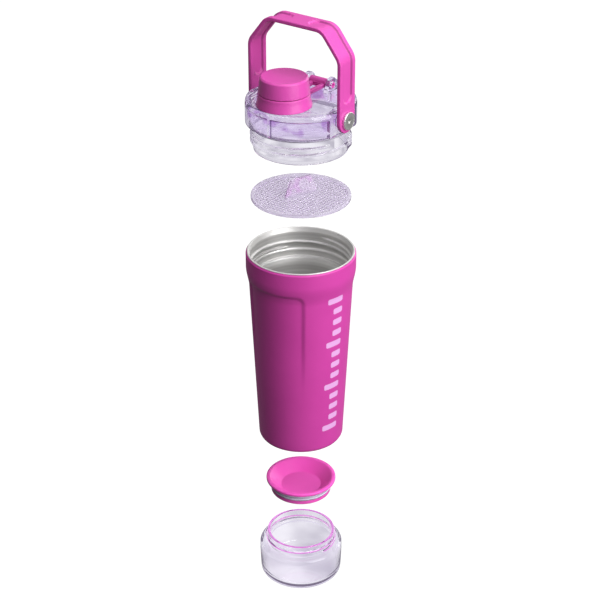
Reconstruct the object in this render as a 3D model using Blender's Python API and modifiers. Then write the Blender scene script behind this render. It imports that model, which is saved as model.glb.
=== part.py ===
# Insulated shaker bottle, laid out in the order in which it goes together: a powder jar at the
# bottom, its stopper, the steel cup, the mixing grid, and the lid with its handle and spout cap.
# Units are metres, +Z is up. The origin is on the bottle's axis, at the underside of the jar.
# The handle turns about X, the spout is on the -Y side and the cap's hinge on the +Y side.
import math

import bmesh
import bpy
from mathutils import Vector

MM = 0.001

# Clearances
TOUCH_GAP = 0.3 * MM            # between pieces that rest on each other or hold each other
THREAD_GAP = 0.3 * MM           # between the crests of two mating threads
PLUG_GAP = 0.4 * MM             # between the stopper's seal and the jar's bore
CAP_SWING_GAP = 1.7 * MM        # between the spout's thread and the cap's bore, so the cap can tip

# Spaces between the laid-out pieces
STOPPER_SPACE = 45.7 * MM
CUP_SPACE = 49.2 * MM
GRID_SPACE = 49.7 * MM
LID_SPACE = 42.9 * MM

# Cup
CUP_HEIGHT = 183 * MM
RIM_RADIUS = 46.5 * MM
BASE_RADIUS = 37.5 * MM
COLLAR_BULGE = 1.0 * MM         # how far the collar stands out from the rim
COLLAR_DEPTH = 14 * MM          # where the straight collar ends
STEP_DEPTH = 33 * MM            # where the straight taper begins
STEP_INSET = 1.7 * MM           # how far the taper starts inside the rim radius
SHELL_WALL = 0.7 * MM
LINER_WALL = 0.5 * MM
LIP_HEIGHT = 0.6 * MM           # bare steel edge on top of the coated shell
LIP_WIDTH = 1.7 * MM
BORE_INSET = 0.6 * MM           # thread bore inside the lip
CUP_THREAD_HEIGHT = 1.5 * MM
THREAD_PITCH = 5.5 * MM
THREAD_WIDTH = 3.2 * MM
CUP_THREAD_DEPTH = 7.5 * MM     # top of the cup's first thread ridge
LEDGE_INSET = 2.8 * MM          # width of the ledge that carries the grid
LEDGE_ROUND = 0.6 * MM
SEAT_RISE = 7.5 * MM            # where the thread bore ends, above the ledge
SEAT_SLOPE = 1.5 * MM
LIP_DEPTH = 3.4 * MM            # where the mouth has narrowed to the thread bore
LIP_ROUND = 0.3 * MM
LIP_SHOW = 0.1 * MM             # how far the bare lip stays inside the coat
FLOOR_INSET = 3.4 * MM          # chamber radius at the floor, inside the base radius
FLOOR_FILLET = 4.5 * MM
FLOOR_RISE = 21.6 * MM          # chamber floor above the cup's underside
BASE_FILLET = 3.0 * MM
BASE_TUCK = 1.2 * MM            # how far the bottom edge turns in

# Grip panels pressed into the front and the back of the shell
PANEL_DEPTH = 0.8 * MM
PANEL_TOP = 22.5 * MM
PANEL_EDGE = 2.6 * MM
PANEL_FADE_START = 60 * MM
PANEL_FADE_END = 112 * MM
PANEL_HALF_ANGLE = math.radians(38)
PANEL_SIDE_ANGLE = math.radians(7)

# Base of the cup
SOCKET_WALL = 1.6 * MM
SOCKET_THREAD_HEIGHT = 1.0 * MM
SOCKET_CEILING = 1.4 * MM
PLATE_WALL = 0.8 * MM
PLATE_FLANGE = 5.5 * MM
GETTER_RADIUS = 7.0 * MM
GETTER_HEIGHT = 1.5 * MM
SOCKET_LIFT = 0.2 * MM          # socket's edge above the shell's bottom edge
JAR_THREAD_DROP = 2.4 * MM      # top of the socket's first ridge below its ceiling
JAR_THREAD_WIDTH = 2.6 * MM

# Mixing grid
GRID_THICKNESS = 3.4 * MM
GRID_RIM = 3.4 * MM
GRID_PITCH = 6.2 * MM
GRID_HOLE = 4.1 * MM
FIN_BASE = 33 * MM
FIN_TOP = 20 * MM
FIN_HEIGHT = 15 * MM
FIN_THICKNESS = 2.2 * MM
FIN_ANGLE = math.radians(68)

# Lid
SKIRT_LENGTH = 23.3 * MM
SKIRT_WALL = 2.6 * MM
LID_THREAD_HEIGHT = 1.6 * MM
LID_THREAD_WIDTH = 2.4 * MM
SKIRT_DRAFT = 0.8 * MM          # how far the skirt narrows at its lower edge
LID_THREAD_DEPTH = 7.6 * MM     # top of the lid's first thread ridge below the drum
DRUM_HEIGHT = 20.4 * MM
DRUM_INSET = 0.4 * MM           # drum inside the cup's rim radius
DRUM_CHAMFER = 2.6 * MM
DECK_THICKNESS = 3.0 * MM
DRUM_WALL = 2.2 * MM            # outside the moulded pockets
POCKET_INNER_WALL = 3.2 * MM
POCKET_ROOF = 5.2 * MM
POCKET_SIDE = 17 * MM           # solid zone either side of the pivots
POCKET_RIB = 1.3 * MM           # half thickness of the ribs between the pockets
GASKET_HEIGHT = 2.5 * MM
SPOUT_OFFSET = 23 * MM
SPOUT_RADIUS = 14.5 * MM
SPOUT_WALL = 3.0 * MM
SPOUT_HEIGHT = 18 * MM
SPOUT_THREAD_HEIGHT = 0.7 * MM

# Cap hinge
HINGE_OFFSET = 27 * MM
HINGE_RISE = 4.7 * MM           # hinge axis above the deck
EAR_RADIUS = 6.6 * MM
EAR_THICKNESS = 4.0 * MM
EAR_FOOT_FRONT = 9.5 * MM
EAR_FOOT_BACK = 11.5 * MM
BARREL_RADIUS = 4.1 * MM
BARREL_HALF_LENGTH = 9.2 * MM
PIN_RADIUS = 2.6 * MM
PIN_BORE = 1.0 * MM

# Spout cap and its tether
CAP_HEIGHT = 13.9 * MM          # above the seam
CAP_TOP_RADIUS = 19.8 * MM
CAP_CHAMFER = 1.4 * MM
CAP_WALL = 4.2 * MM             # at the seam
CAP_SKIRT_WALL = 1.4 * MM
COLLAR_HEIGHT = 10.5 * MM
COLLAR_FLARE = 1.8 * MM
DECK_GAP = 0.7 * MM
SNAP_BEAD = 0.9 * MM
TETHER_HALF_WIDTH = 7.4 * MM
TETHER_THICKNESS = 3.4 * MM
WINDOW_HALF_WIDTH = 4.0 * MM
WINDOW_MARGIN = 4.5 * MM

# Handle
STRAP_HALF_WIDTH = 10.6 * MM
STRAP_THICKNESS = 3.5 * MM
STRAP_EDGE = 0.6 * MM
FOLD_GAP = 0.1 * MM             # strap edge above the drum's underside when it is folded down
FLAT_INSET = 3.6 * MM           # flats cut into the drum for the handle's arms
HANDLE_RISE = 76 * MM           # top of the strap above the pivots
SHOULDER_DROP = 22.2 * MM
SHOULDER_INSET = 17.6 * MM
BEND_RADIUS = 12 * MM
CHANNEL_HALF_WIDTH = 6.0 * MM
CHANNEL_DEPTH = 1.1 * MM
OUTER_CHANNEL_START = 20.6 * MM
INNER_CHANNEL_START = 26 * MM
CHANNEL_STOP = 16.5 * MM        # half the plain length in the middle of the top bar

# Handle pivots
SCREW_HEAD_RADIUS = 7.4 * MM
SCREW_HEAD_HEIGHT = 2.1 * MM
SCREW_RADIUS = 3.0 * MM
SCREW_KEY = 2.1 * MM
SCREW_KEY_DEPTH = 1.2 * MM
BUSH_WALL = 1.1 * MM
INSERT_WALL = 1.3 * MM
INSERT_LENGTH = 4.0 * MM
BOSS_RADIUS = 7.4 * MM
BOSS_DEPTH = 8.6 * MM

# Jar
JAR_HEIGHT = 44.2 * MM
JAR_SHOULDER = 33.1 * MM
JAR_BULGE = 0.8 * MM            # jar body outside the cup's base radius
JAR_TAPER = 1.1 * MM
JAR_WALL = 2.8 * MM
JAR_FLOOR = 4.2 * MM
JAR_FILLET = 4.0 * MM
NECK_THREAD_HEIGHT = 1.3 * MM
NECK_WALL = 2.4 * MM

# Stopper
STOPPER_HEIGHT = 14 * MM
FLANGE_INSET = 0.9 * MM         # flange inside the socket's thread
FLANGE_THICKNESS = 2.8 * MM
FLANGE_WIDTH = 3.9 * MM
DISH_DEPTH = 9.0 * MM
DISH_WIDTH = 10 * MM            # from the dish's edge to its flat floor
DISH_FLOOR = 1.8 * MM
SEAL_RIB = 0.9 * MM
SEAL_WALL = 1.1 * MM
SEAL_TOP = 4.1 * MM
SEAL_BOTTOM = 10.0 * MM

SIDES = ((1, "right"), (-1, "left"))
SEGMENTS = 36
SMALL_SEGMENTS = 16
SPOUT_SEGMENTS = 24
CAP_SEGMENTS = 28
WELD = 0.01 * MM
FLANK_SHARE = 0.34              # share of a thread ridge's width that each flank takes
ROUND_SHARE = 0.3               # where the middle point of a rounded corner lies

# Radii that follow from the cup
LIP_RADIUS = RIM_RADIUS - LIP_WIDTH
BORE_RADIUS = LIP_RADIUS - BORE_INSET
CUP_CREST = BORE_RADIUS - CUP_THREAD_HEIGHT
PIECE_RADIUS = CUP_CREST - THREAD_GAP          # what passes down through the cup's thread
SKIRT_RADIUS = PIECE_RADIUS - LID_THREAD_HEIGHT
CAVITY_RADIUS = SKIRT_RADIUS - SKIRT_WALL
DRUM_RADIUS = RIM_RADIUS - DRUM_INSET
FLAT_X = DRUM_RADIUS - FLAT_INSET
LEDGE_DEPTH = SKIRT_LENGTH + GRID_THICKNESS + TOUCH_GAP
SOCKET_RADIUS = BASE_RADIUS - BASE_TUCK - SHELL_WALL - TOUCH_GAP
SOCKET_ROOT = SOCKET_RADIUS - SOCKET_WALL
SOCKET_CREST = SOCKET_ROOT - SOCKET_THREAD_HEIGHT
NECK_CREST = SOCKET_CREST - THREAD_GAP
NECK_RADIUS = NECK_CREST - NECK_THREAD_HEIGHT
NECK_BORE = NECK_RADIUS - NECK_WALL
SEAL_RADIUS = NECK_BORE - PLUG_GAP
FLANGE_RADIUS = SOCKET_CREST - FLANGE_INSET
NECK_HEIGHT = JAR_HEIGHT - JAR_SHOULDER
SOCKET_DEPTH = NECK_HEIGHT + FLANGE_THICKNESS + 2 * TOUCH_GAP

# Radii that follow from the spout
CAP_BORE = SPOUT_RADIUS + SPOUT_THREAD_HEIGHT + CAP_SWING_GAP
SEAM_RADIUS = CAP_BORE + CAP_WALL
CAP_SKIRT = CAP_BORE + CAP_SKIRT_WALL
COLLAR_LIP = CAP_SKIRT + TOUCH_GAP
COLLAR_BORE = COLLAR_LIP + SNAP_BEAD

# Places along the handle's pivot axis
STRAP_INNER_X = FLAT_X + TOUCH_GAP
STRAP_OUTER_X = STRAP_INNER_X + STRAP_THICKNESS
BUSH_BORE = SCREW_RADIUS + TOUCH_GAP
BUSH_RADIUS = BUSH_BORE + BUSH_WALL
INSERT_RADIUS = SCREW_RADIUS + TOUCH_GAP + INSERT_WALL

# Heights
STOPPER_TOP_Z = JAR_HEIGHT + STOPPER_SPACE + STOPPER_HEIGHT
CUP_RIM_Z = STOPPER_TOP_Z + CUP_SPACE + CUP_HEIGHT
GRID_Z = CUP_RIM_Z + GRID_SPACE
DRUM_Z = GRID_Z + GRID_THICKNESS + LID_SPACE + SKIRT_LENGTH
PIVOT_RISE = STRAP_HALF_WIDTH + FOLD_GAP
DECK_Z = DRUM_Z + DRUM_HEIGHT
SEAM_Z = DECK_Z + DECK_GAP + COLLAR_HEIGHT + TOUCH_GAP

COLORS = {
    "coated_steel": (0.55, 0.045, 0.32, 1.0),
    "pink_plastic": (0.68, 0.06, 0.42, 1.0),
    "bare_steel": (0.62, 0.61, 0.59, 1.0),
    "clear_plastic": (0.86, 0.80, 0.93, 1.0),
    "pale_silicone": (0.72, 0.70, 0.76, 1.0),
    "white_nylon": (0.85, 0.85, 0.83, 1.0),
}
ROUGHNESS = {
    "coated_steel": 0.5,
    "pink_plastic": 0.38,
    "bare_steel": 0.28,
    "clear_plastic": 0.06,
    "pale_silicone": 0.6,
    "white_nylon": 0.5,
}
METALS = ("bare_steel",)


def clear_scene():
    for item in list(bpy.data.objects):
        bpy.data.objects.remove(item, do_unlink=True)


def new_collection(name):
    collection = bpy.data.collections.new(name)
    bpy.context.scene.collection.children.link(collection)
    return collection


clear_scene()
PARTS = new_collection("shaker_bottle")
CUTTERS = new_collection("cutters")


def new_frame(name, location, parent=None):
    # An empty that carries the pieces of one moving body.
    frame = bpy.data.objects.new(name, None)
    frame.empty_display_size = 10 * MM
    frame.location = location
    frame.parent = parent
    PARTS.objects.link(frame)
    return frame


def new_material(node, finish):
    material = bpy.data.materials.new(node + "_" + finish)
    material.use_nodes = True
    shader = material.node_tree.nodes["Principled BSDF"]
    shader.inputs["Base Color"].default_value = COLORS[finish]
    shader.inputs["Roughness"].default_value = ROUGHNESS[finish]
    shader.inputs["Metallic"].default_value = 1.0 if finish in METALS else 0.0
    if finish == "clear_plastic":
        shader.inputs["Transmission Weight"].default_value = 0.9
    return material


def add_piece(name, mesh, frame, finish, location=(0, 0, 0)):
    piece = bpy.data.objects.new(name, mesh)
    piece.location = location
    piece.parent = frame
    mesh.materials.append(new_material(name, finish))
    PARTS.objects.link(piece)
    return piece


def add_cutter(name, mesh, frame, location=(0, 0, 0)):
    cutter = bpy.data.objects.new(name, mesh)
    cutter.location = location
    cutter.parent = frame
    cutter.hide_render = True
    cutter.display_type = "WIRE"
    CUTTERS.objects.link(cutter)
    return cutter


def combine(piece, tool, operation):
    boolean = piece.modifiers.new(operation.title() + " " + tool.name, "BOOLEAN")
    boolean.operation = operation
    boolean.solver = "EXACT"
    boolean.object = tool


def cut(piece, tool):
    combine(piece, tool, "DIFFERENCE")


def join(piece, tool):
    combine(piece, tool, "UNION")


def profile_mesh(name, points, closed):
    # A turned shape's outline in the XZ plane. It runs down the outer side.
    mesh = bpy.data.meshes.new(name)
    count = len(points)
    last = count if closed else count - 1
    edges = [(index, (index + 1) % count) for index in range(last)]
    mesh.from_pydata([(radius, 0, height) for radius, height in points], edges, [])
    return mesh


def turn(item, segments=SEGMENTS):
    screw = item.modifiers.new("Turn", "SCREW")
    screw.steps = segments
    screw.render_steps = segments
    screw.use_merge_vertices = True
    screw.merge_threshold = WELD
    screw.use_smooth_shade = True


def turned_piece(name, points, frame, finish, closed=True, location=(0, 0, 0), segments=SEGMENTS):
    piece = add_piece(name, profile_mesh(name, points, closed), frame, finish, location)
    turn(piece, segments)
    return piece


def turned_cutter(name, points, frame, closed=True, location=(0, 0, 0), segments=SEGMENTS):
    cutter = add_cutter(name, profile_mesh(name, points, closed), frame, location)
    turn(cutter, segments)
    return cutter


def box_mesh(name, low, high):
    shape = bmesh.new()
    bmesh.ops.create_cube(shape, size=1)
    low = Vector(low)
    high = Vector(high)
    for vert in shape.verts:
        vert.co = Vector(
            low[axis] + (vert.co[axis] + 0.5) * (high[axis] - low[axis]) for axis in range(3)
        )
    return finish_mesh(name, shape)


def rod_mesh(name, radius, start_x, end_x, segments=SMALL_SEGMENTS):
    # A plain cylinder along X.
    shape = bmesh.new()
    bmesh.ops.create_cone(
        shape, cap_ends=True, segments=segments, radius1=radius, radius2=radius, depth=1
    )
    for vert in shape.verts:
        along = vert.co.z + 0.5
        vert.co = Vector((start_x + along * (end_x - start_x), vert.co.y, vert.co.x))
    shape.normal_update()
    bmesh.ops.recalc_face_normals(shape, faces=shape.faces)
    return finish_mesh(name, shape)


def finish_mesh(name, shape):
    mesh = bpy.data.meshes.new(name)
    shape.to_mesh(mesh)
    shape.free()
    return mesh


def hull_mesh(name, shape):
    # The convex body round a shape's points.
    hull = bmesh.ops.convex_hull(shape, input=shape.verts)
    spare = set(hull["geom_interior"]) | set(hull["geom_unused"])
    spare = [item for item in spare if isinstance(item, bmesh.types.BMVert)]
    bmesh.ops.delete(shape, geom=spare, context="VERTS")
    shape.normal_update()
    bmesh.ops.recalc_face_normals(shape, faces=shape.faces)
    return finish_mesh(name, shape)


def stand_on_x(item, side):
    # Turns a piece that was made along Z so that it points outwards along X.
    item.rotation_euler = (0, side * math.pi / 2, 0)


def ease(value):
    value = min(max(value, 0.0), 1.0)
    return value * value * (3 - 2 * value)


def ridge(root, crest, top, width):
    # Four points of a thread ridge, from its top to its bottom.
    flank = width * FLANK_SHARE
    return [(root, top), (crest, top - flank), (crest, top - width + flank), (root, top - width)]


# ---- cup ----

def taper_radius(depth):
    step_radius = RIM_RADIUS - STEP_INSET
    share = (depth - STEP_DEPTH) / (CUP_HEIGHT - STEP_DEPTH)
    return step_radius + share * (BASE_RADIUS - step_radius)


def shell_radius(depth):
    collar_radius = RIM_RADIUS + COLLAR_BULGE
    if depth <= COLLAR_DEPTH:
        rounding = ease((depth - LIP_HEIGHT) / (4 * COLLAR_BULGE))
        return RIM_RADIUS + COLLAR_BULGE * rounding
    share = ease((depth - COLLAR_DEPTH) / (STEP_DEPTH - COLLAR_DEPTH))
    radius = collar_radius + share * (taper_radius(max(depth, STEP_DEPTH)) - collar_radius)
    above_base = CUP_HEIGHT - depth
    if above_base < BASE_FILLET:
        radius -= BASE_TUCK * (1 - above_base / BASE_FILLET) ** 2
    return radius


def panel_press(angle, depth):
    # How far a grip panel is pressed in at one place of the shell.
    from_middle = abs(abs(angle) - math.pi / 2)
    side = 1 - ease((from_middle - PANEL_HALF_ANGLE) / PANEL_SIDE_ANGLE)
    top = ease((depth - PANEL_TOP) / PANEL_EDGE)
    fade = 1 - ease((depth - PANEL_FADE_START) / (PANEL_FADE_END - PANEL_FADE_START))
    return PANEL_DEPTH * side * top * fade


def shell_depths():
    collar_end = COLLAR_DEPTH + (PANEL_TOP - COLLAR_DEPTH) / 2
    depths = [LIP_HEIGHT + TOUCH_GAP, LIP_HEIGHT + 3 * COLLAR_BULGE, COLLAR_DEPTH, collar_end]
    depths += [PANEL_TOP, PANEL_TOP + PANEL_EDGE, STEP_DEPTH]
    steps = 4
    last = CUP_HEIGHT - BASE_FILLET
    depths += [STEP_DEPTH + (last - STEP_DEPTH) * step / steps for step in range(1, steps + 1)]
    return depths + [CUP_HEIGHT - BASE_FILLET / 2, CUP_HEIGHT]


def make_outer_shell(frame):
    shape = bmesh.new()
    verts = [shape.verts.new((shell_radius(depth), 0, -depth)) for depth in shell_depths()]
    edges = [shape.edges.new(pair) for pair in zip(verts, verts[1:])]
    bmesh.ops.spin(
        shape, geom=verts + edges, axis=(0, 0, 1), cent=(0, 0, 0), angle=math.tau,
        steps=SEGMENTS, use_merge=True,
    )
    bmesh.ops.remove_doubles(shape, verts=shape.verts, dist=WELD)
    for vert in shape.verts:
        radius = math.hypot(vert.co.x, vert.co.y)
        pressed = radius - panel_press(math.atan2(vert.co.y, vert.co.x), -vert.co.z)
        vert.co.x *= pressed / radius
        vert.co.y *= pressed / radius
    outward = sum(face.normal.dot(face.calc_center_median() * Vector((1, 1, 0))) for face in shape.faces)
    if outward < 0:
        bmesh.ops.reverse_faces(shape, faces=shape.faces)
    mesh = finish_mesh("outer_shell", shape)
    mesh.shade_smooth()
    shell = add_piece("outer_shell", mesh, frame, "coated_steel")
    wall = shell.modifiers.new("Wall", "SOLIDIFY")
    wall.thickness = SHELL_WALL
    wall.offset = -1
    wall.use_even_offset = True


def make_inner_liner(frame):
    floor = FLOOR_RISE - CUP_HEIGHT
    floor_radius = BASE_RADIUS - FLOOR_INSET
    seat = CUP_CREST + TOUCH_GAP
    chamber = seat - LEDGE_INSET
    bore_end = -LEDGE_DEPTH + SEAT_RISE
    wall_drop = 0.4 * MM
    foot_drop = 0.5 * MM
    first = -CUP_THREAD_DEPTH
    second = first - THREAD_PITCH
    inner = [(0, floor), (floor_radius - FLOOR_FILLET, floor)]
    inner += [(floor_radius - FLOOR_FILLET * ROUND_SHARE, floor + FLOOR_FILLET * ROUND_SHARE)]
    inner += [(floor_radius, floor + FLOOR_FILLET)]
    inner += [(chamber, -LEDGE_DEPTH - 2 * LEDGE_ROUND), (chamber + LEDGE_ROUND, -LEDGE_DEPTH)]
    inner += [(seat, -LEDGE_DEPTH), (seat, bore_end - SEAT_SLOPE), (BORE_RADIUS, bore_end)]
    inner += ridge(BORE_RADIUS, CUP_CREST, second, THREAD_WIDTH)[::-1]
    inner += ridge(BORE_RADIUS, CUP_CREST, first, THREAD_WIDTH)[::-1]
    inner += [(BORE_RADIUS, -LIP_DEPTH), (LIP_RADIUS, -LIP_HEIGHT), (LIP_RADIUS + LIP_ROUND, 0)]
    lip = RIM_RADIUS - LIP_SHOW
    outer = [(lip - LIP_ROUND, 0), (lip, -LIP_ROUND), (lip, -LIP_HEIGHT)]
    outer += [(LIP_RADIUS + LINER_WALL, -LIP_HEIGHT), (BORE_RADIUS + LINER_WALL, -LIP_DEPTH)]
    outer += [(BORE_RADIUS + LINER_WALL, bore_end - wall_drop)]
    outer += [(seat + LINER_WALL, bore_end - SEAT_SLOPE - wall_drop)]
    outer += [(seat + LINER_WALL, -LEDGE_DEPTH - LINER_WALL)]
    outer += [(chamber + LINER_WALL, -LEDGE_DEPTH - LINER_WALL - foot_drop)]
    outer += [(floor_radius + LINER_WALL, floor + FLOOR_FILLET)]
    outer += [(floor_radius - FLOOR_FILLET + LINER_WALL, floor - LINER_WALL), (0, floor - LINER_WALL)]
    turned_piece("inner_liner", inner + outer, frame, "bare_steel", closed=False)


def make_cup_base(frame):
    low = -CUP_HEIGHT + SOCKET_LIFT
    ceiling = -CUP_HEIGHT + SOCKET_DEPTH
    top = ceiling + SOCKET_CEILING
    thread_top = ceiling - JAR_THREAD_DROP
    getter_edge = 0.5 * MM
    socket = [(0, top), (SOCKET_RADIUS, top), (SOCKET_RADIUS, low), (SOCKET_ROOT, low)]
    socket += ridge(SOCKET_ROOT, SOCKET_CREST, thread_top - THREAD_PITCH, JAR_THREAD_WIDTH)[::-1]
    socket += ridge(SOCKET_ROOT, SOCKET_CREST, thread_top, JAR_THREAD_WIDTH)[::-1]
    socket += [(SOCKET_ROOT, ceiling), (0, ceiling)]
    turned_piece("base_socket", socket, frame, "pink_plastic", closed=False)
    under = top + TOUCH_GAP
    flange_low = under - PLATE_FLANGE
    flange = shell_radius(-flange_low) - SHELL_WALL - TOUCH_GAP
    plate = [(0, under + PLATE_WALL), (flange - PLATE_WALL, under + PLATE_WALL)]
    plate += [(flange, under), (flange, flange_low), (flange - PLATE_WALL, flange_low)]
    plate += [(flange - PLATE_WALL, under), (0, under)]
    turned_piece("base_plate", plate, frame, "bare_steel", closed=False)
    seat = under + PLATE_WALL + TOUCH_GAP
    getter = [(0, GETTER_HEIGHT), (GETTER_RADIUS - getter_edge, GETTER_HEIGHT)]
    getter += [(GETTER_RADIUS, GETTER_HEIGHT - getter_edge), (GETTER_RADIUS, 0), (0, 0)]
    turned_piece(
        "vacuum_getter", getter, frame, "bare_steel", closed=False, location=(0, 0, seat),
        segments=SMALL_SEGMENTS,
    )


# ---- mixing grid ----

def grid_hole_places():
    # Centres of the square holes that lie inside the grid's solid rim.
    reach = PIECE_RADIUS - GRID_RIM - GRID_HOLE * 0.7
    count = math.ceil(reach / GRID_PITCH)
    middle_clear = FIN_THICKNESS / 2 + GRID_HOLE * 0.75
    direction = Vector((math.cos(FIN_ANGLE), math.sin(FIN_ANGLE)))
    places = []
    for row in range(-count, count + 1):
        for column in range(-count, count + 1):
            spot = Vector((column * GRID_PITCH, row * GRID_PITCH))
            beside_fin = abs(spot.cross(direction)) > middle_clear
            past_fin = abs(spot.dot(direction)) > FIN_BASE / 2 + GRID_HOLE * 0.75
            if spot.length < reach and (beside_fin or past_fin):
                places.append(spot)
    return places


def make_mixing_grid(frame):
    edge = 0.5 * MM
    disc = [(0, GRID_THICKNESS), (PIECE_RADIUS - edge, GRID_THICKNESS)]
    disc += [(PIECE_RADIUS, GRID_THICKNESS - edge), (PIECE_RADIUS, edge), (PIECE_RADIUS - edge, 0)]
    disc += [(0, 0)]
    grid = turned_piece("mixing_grid", disc, frame, "clear_plastic", closed=False)
    holes = bmesh.new()
    for spot in grid_hole_places():
        hole = bmesh.ops.create_cube(holes, size=1)["verts"]
        for vert in hole:
            side = vert.co * GRID_HOLE
            vert.co = Vector((spot.x + side.x, spot.y + side.y, GRID_THICKNESS * (0.5 + 2 * vert.co.z)))
    cut(grid, add_cutter("grid_holes", finish_mesh("grid_holes", holes), frame))
    fin = bmesh.new()
    foot = GRID_THICKNESS / 2
    for side in (-1, 1):
        across = side * FIN_THICKNESS / 2
        for end in (-1, 1):
            fin.verts.new((end * FIN_BASE / 2, across, foot))
            fin.verts.new((end * FIN_TOP / 2, across, GRID_THICKNESS + FIN_HEIGHT))
    fin_tool = add_cutter("grid_fin", hull_mesh("grid_fin", fin), frame)
    fin_tool.rotation_euler = (0, 0, FIN_ANGLE)
    join(grid, fin_tool)


# ---- lid ----

def lid_profile():
    # Local height 0 is the underside of the drum, which seats on the cup's rim.
    first = -LID_THREAD_DEPTH
    second = first - THREAD_PITCH
    edge = 0.4 * MM
    points = [(0, DRUM_HEIGHT), (DRUM_RADIUS - DRUM_CHAMFER, DRUM_HEIGHT)]
    points += [(DRUM_RADIUS, DRUM_HEIGHT - DRUM_CHAMFER), (DRUM_RADIUS, edge), (DRUM_RADIUS - edge, 0)]
    points += [(SKIRT_RADIUS, 0)]
    points += ridge(SKIRT_RADIUS, PIECE_RADIUS, first, LID_THREAD_WIDTH)
    points += ridge(SKIRT_RADIUS, PIECE_RADIUS, second, LID_THREAD_WIDTH)
    points += [(SKIRT_RADIUS - SKIRT_DRAFT, -SKIRT_LENGTH), (CAVITY_RADIUS, -SKIRT_LENGTH)]
    points += [(CAVITY_RADIUS, DRUM_HEIGHT - DECK_THICKNESS), (0, DRUM_HEIGHT - DECK_THICKNESS)]
    return points


def spout_profile():
    # A tube that stands in a wider hole in the deck. Local height 0 is the deck's top.
    top = SPOUT_HEIGHT
    bead = SPOUT_RADIUS + SPOUT_THREAD_HEIGHT
    bore = SPOUT_RADIUS - SPOUT_WALL
    foot = -DECK_THICKNESS - 1 * MM
    points = [(bore, top), (SPOUT_RADIUS - 1 * MM, top), (SPOUT_RADIUS, top - 1 * MM)]
    points += ridge(SPOUT_RADIUS, bead, top - 3 * MM, 2 * MM)
    points += [(SPOUT_RADIUS, foot), (bore, foot)]
    return points


def ear_mesh(name, start_x):
    # A hinge ear: a round lug that widens down into the deck.
    shape = bmesh.new()
    foot = -HINGE_RISE - DECK_THICKNESS / 2
    for x in (start_x, start_x + EAR_THICKNESS):
        for step in range(SMALL_SEGMENTS):
            angle = math.tau * step / SMALL_SEGMENTS
            height = EAR_RADIUS * math.sin(angle)
            if height > foot:
                shape.verts.new((x, EAR_RADIUS * math.cos(angle), height))
        for y in (-EAR_FOOT_FRONT, EAR_FOOT_BACK):
            shape.verts.new((x, y, -HINGE_RISE))
            shape.verts.new((x, y, foot))
    return hull_mesh(name, shape)


def pocket_cutter(frame):
    # The moulded pockets in the drum: a ring, less the solid pivot zones and the ribs.
    inner = CAVITY_RADIUS + POCKET_INNER_WALL
    outer = DRUM_RADIUS - DRUM_WALL
    roof = DRUM_HEIGHT - POCKET_ROOF
    below = -1 * MM
    ring = turned_cutter(
        "lid_pocket_ring", [(inner, roof), (outer, roof), (outer, below), (inner, below)], frame
    )
    reach = DRUM_RADIUS * 1.2
    tall = DRUM_HEIGHT
    pivots = box_mesh("lid_pivot_zone", (-reach, -POCKET_SIDE, -tall), (reach, POCKET_SIDE, tall))
    cut(ring, add_cutter("lid_pivot_zone", pivots, frame))
    ribs = box_mesh("lid_rib_zone", (-POCKET_RIB, -reach, -tall), (POCKET_RIB, reach, tall))
    cut(ring, add_cutter("lid_rib_zone", ribs, frame))
    return ring


def add_bosses(lid, frame):
    for side, label in SIDES:
        inner = side * (FLAT_X - BOSS_DEPTH)
        boss = rod_mesh("lid_boss_" + label, BOSS_RADIUS, inner, side * (FLAT_X - 1 * MM))
        join(lid, add_cutter("lid_boss_" + label, boss, frame, (0, 0, PIVOT_RISE)))


def add_spout(lid, frame):
    place = (0, -SPOUT_OFFSET, DRUM_HEIGHT)
    hole = SPOUT_RADIUS - SPOUT_WALL / 2
    reach = DECK_THICKNESS + 2 * MM
    hole_profile = [(0, reach), (hole, reach), (hole, -reach), (0, -reach)]
    cut(lid, turned_cutter("lid_deck_hole", hole_profile, frame, False, place, SPOUT_SEGMENTS))
    join(lid, turned_cutter("lid_spout", spout_profile(), frame, True, place, SPOUT_SEGMENTS))


def add_ears(lid, frame):
    place = (0, HINGE_OFFSET, DRUM_HEIGHT + HINGE_RISE)
    ear_start = BARREL_HALF_LENGTH + TOUCH_GAP
    for label, start in (("right", ear_start), ("left", -ear_start - EAR_THICKNESS)):
        ear = ear_mesh("lid_ear_" + label, start)
        join(lid, add_cutter("lid_ear_" + label, ear, frame, place))


def cut_flats(lid, frame):
    reach = DRUM_RADIUS * 1.2
    for side, label in SIDES:
        near, far = sorted((side * FLAT_X, side * reach))
        flat = box_mesh("lid_flat_" + label, (near, -reach, -1 * MM), (far, reach, DRUM_HEIGHT + 1 * MM))
        cut(lid, add_cutter("lid_flat_" + label, flat, frame))


def cut_pivot_holes(lid, frame):
    reach = DRUM_RADIUS * 1.2
    hole_end = FLAT_X - INSERT_LENGTH - 2 * TOUCH_GAP
    for side, label in SIDES:
        hole = rod_mesh("lid_hole_" + label, INSERT_RADIUS + TOUCH_GAP, side * hole_end, side * reach)
        cut(lid, add_cutter("lid_hole_" + label, hole, frame, (0, 0, PIVOT_RISE)))


def make_lid_body(frame):
    mesh = profile_mesh("lid_body", lid_profile(), False)
    lid = add_piece("lid_body", mesh, frame, "clear_plastic")
    turn(lid)
    add_bosses(lid, frame)
    add_spout(lid, frame)
    add_ears(lid, frame)
    cut_flats(lid, frame)
    cut_pivot_holes(lid, frame)
    reach = BARREL_HALF_LENGTH + EAR_THICKNESS + 2 * MM
    pin_hole = rod_mesh("lid_pin_hole", PIN_RADIUS + TOUCH_GAP, -reach, reach)
    place = (0, HINGE_OFFSET, DRUM_HEIGHT + HINGE_RISE)
    cut(lid, add_cutter("lid_pin_hole", pin_hole, frame, place))
    cut(lid, pocket_cutter(frame))


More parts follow.
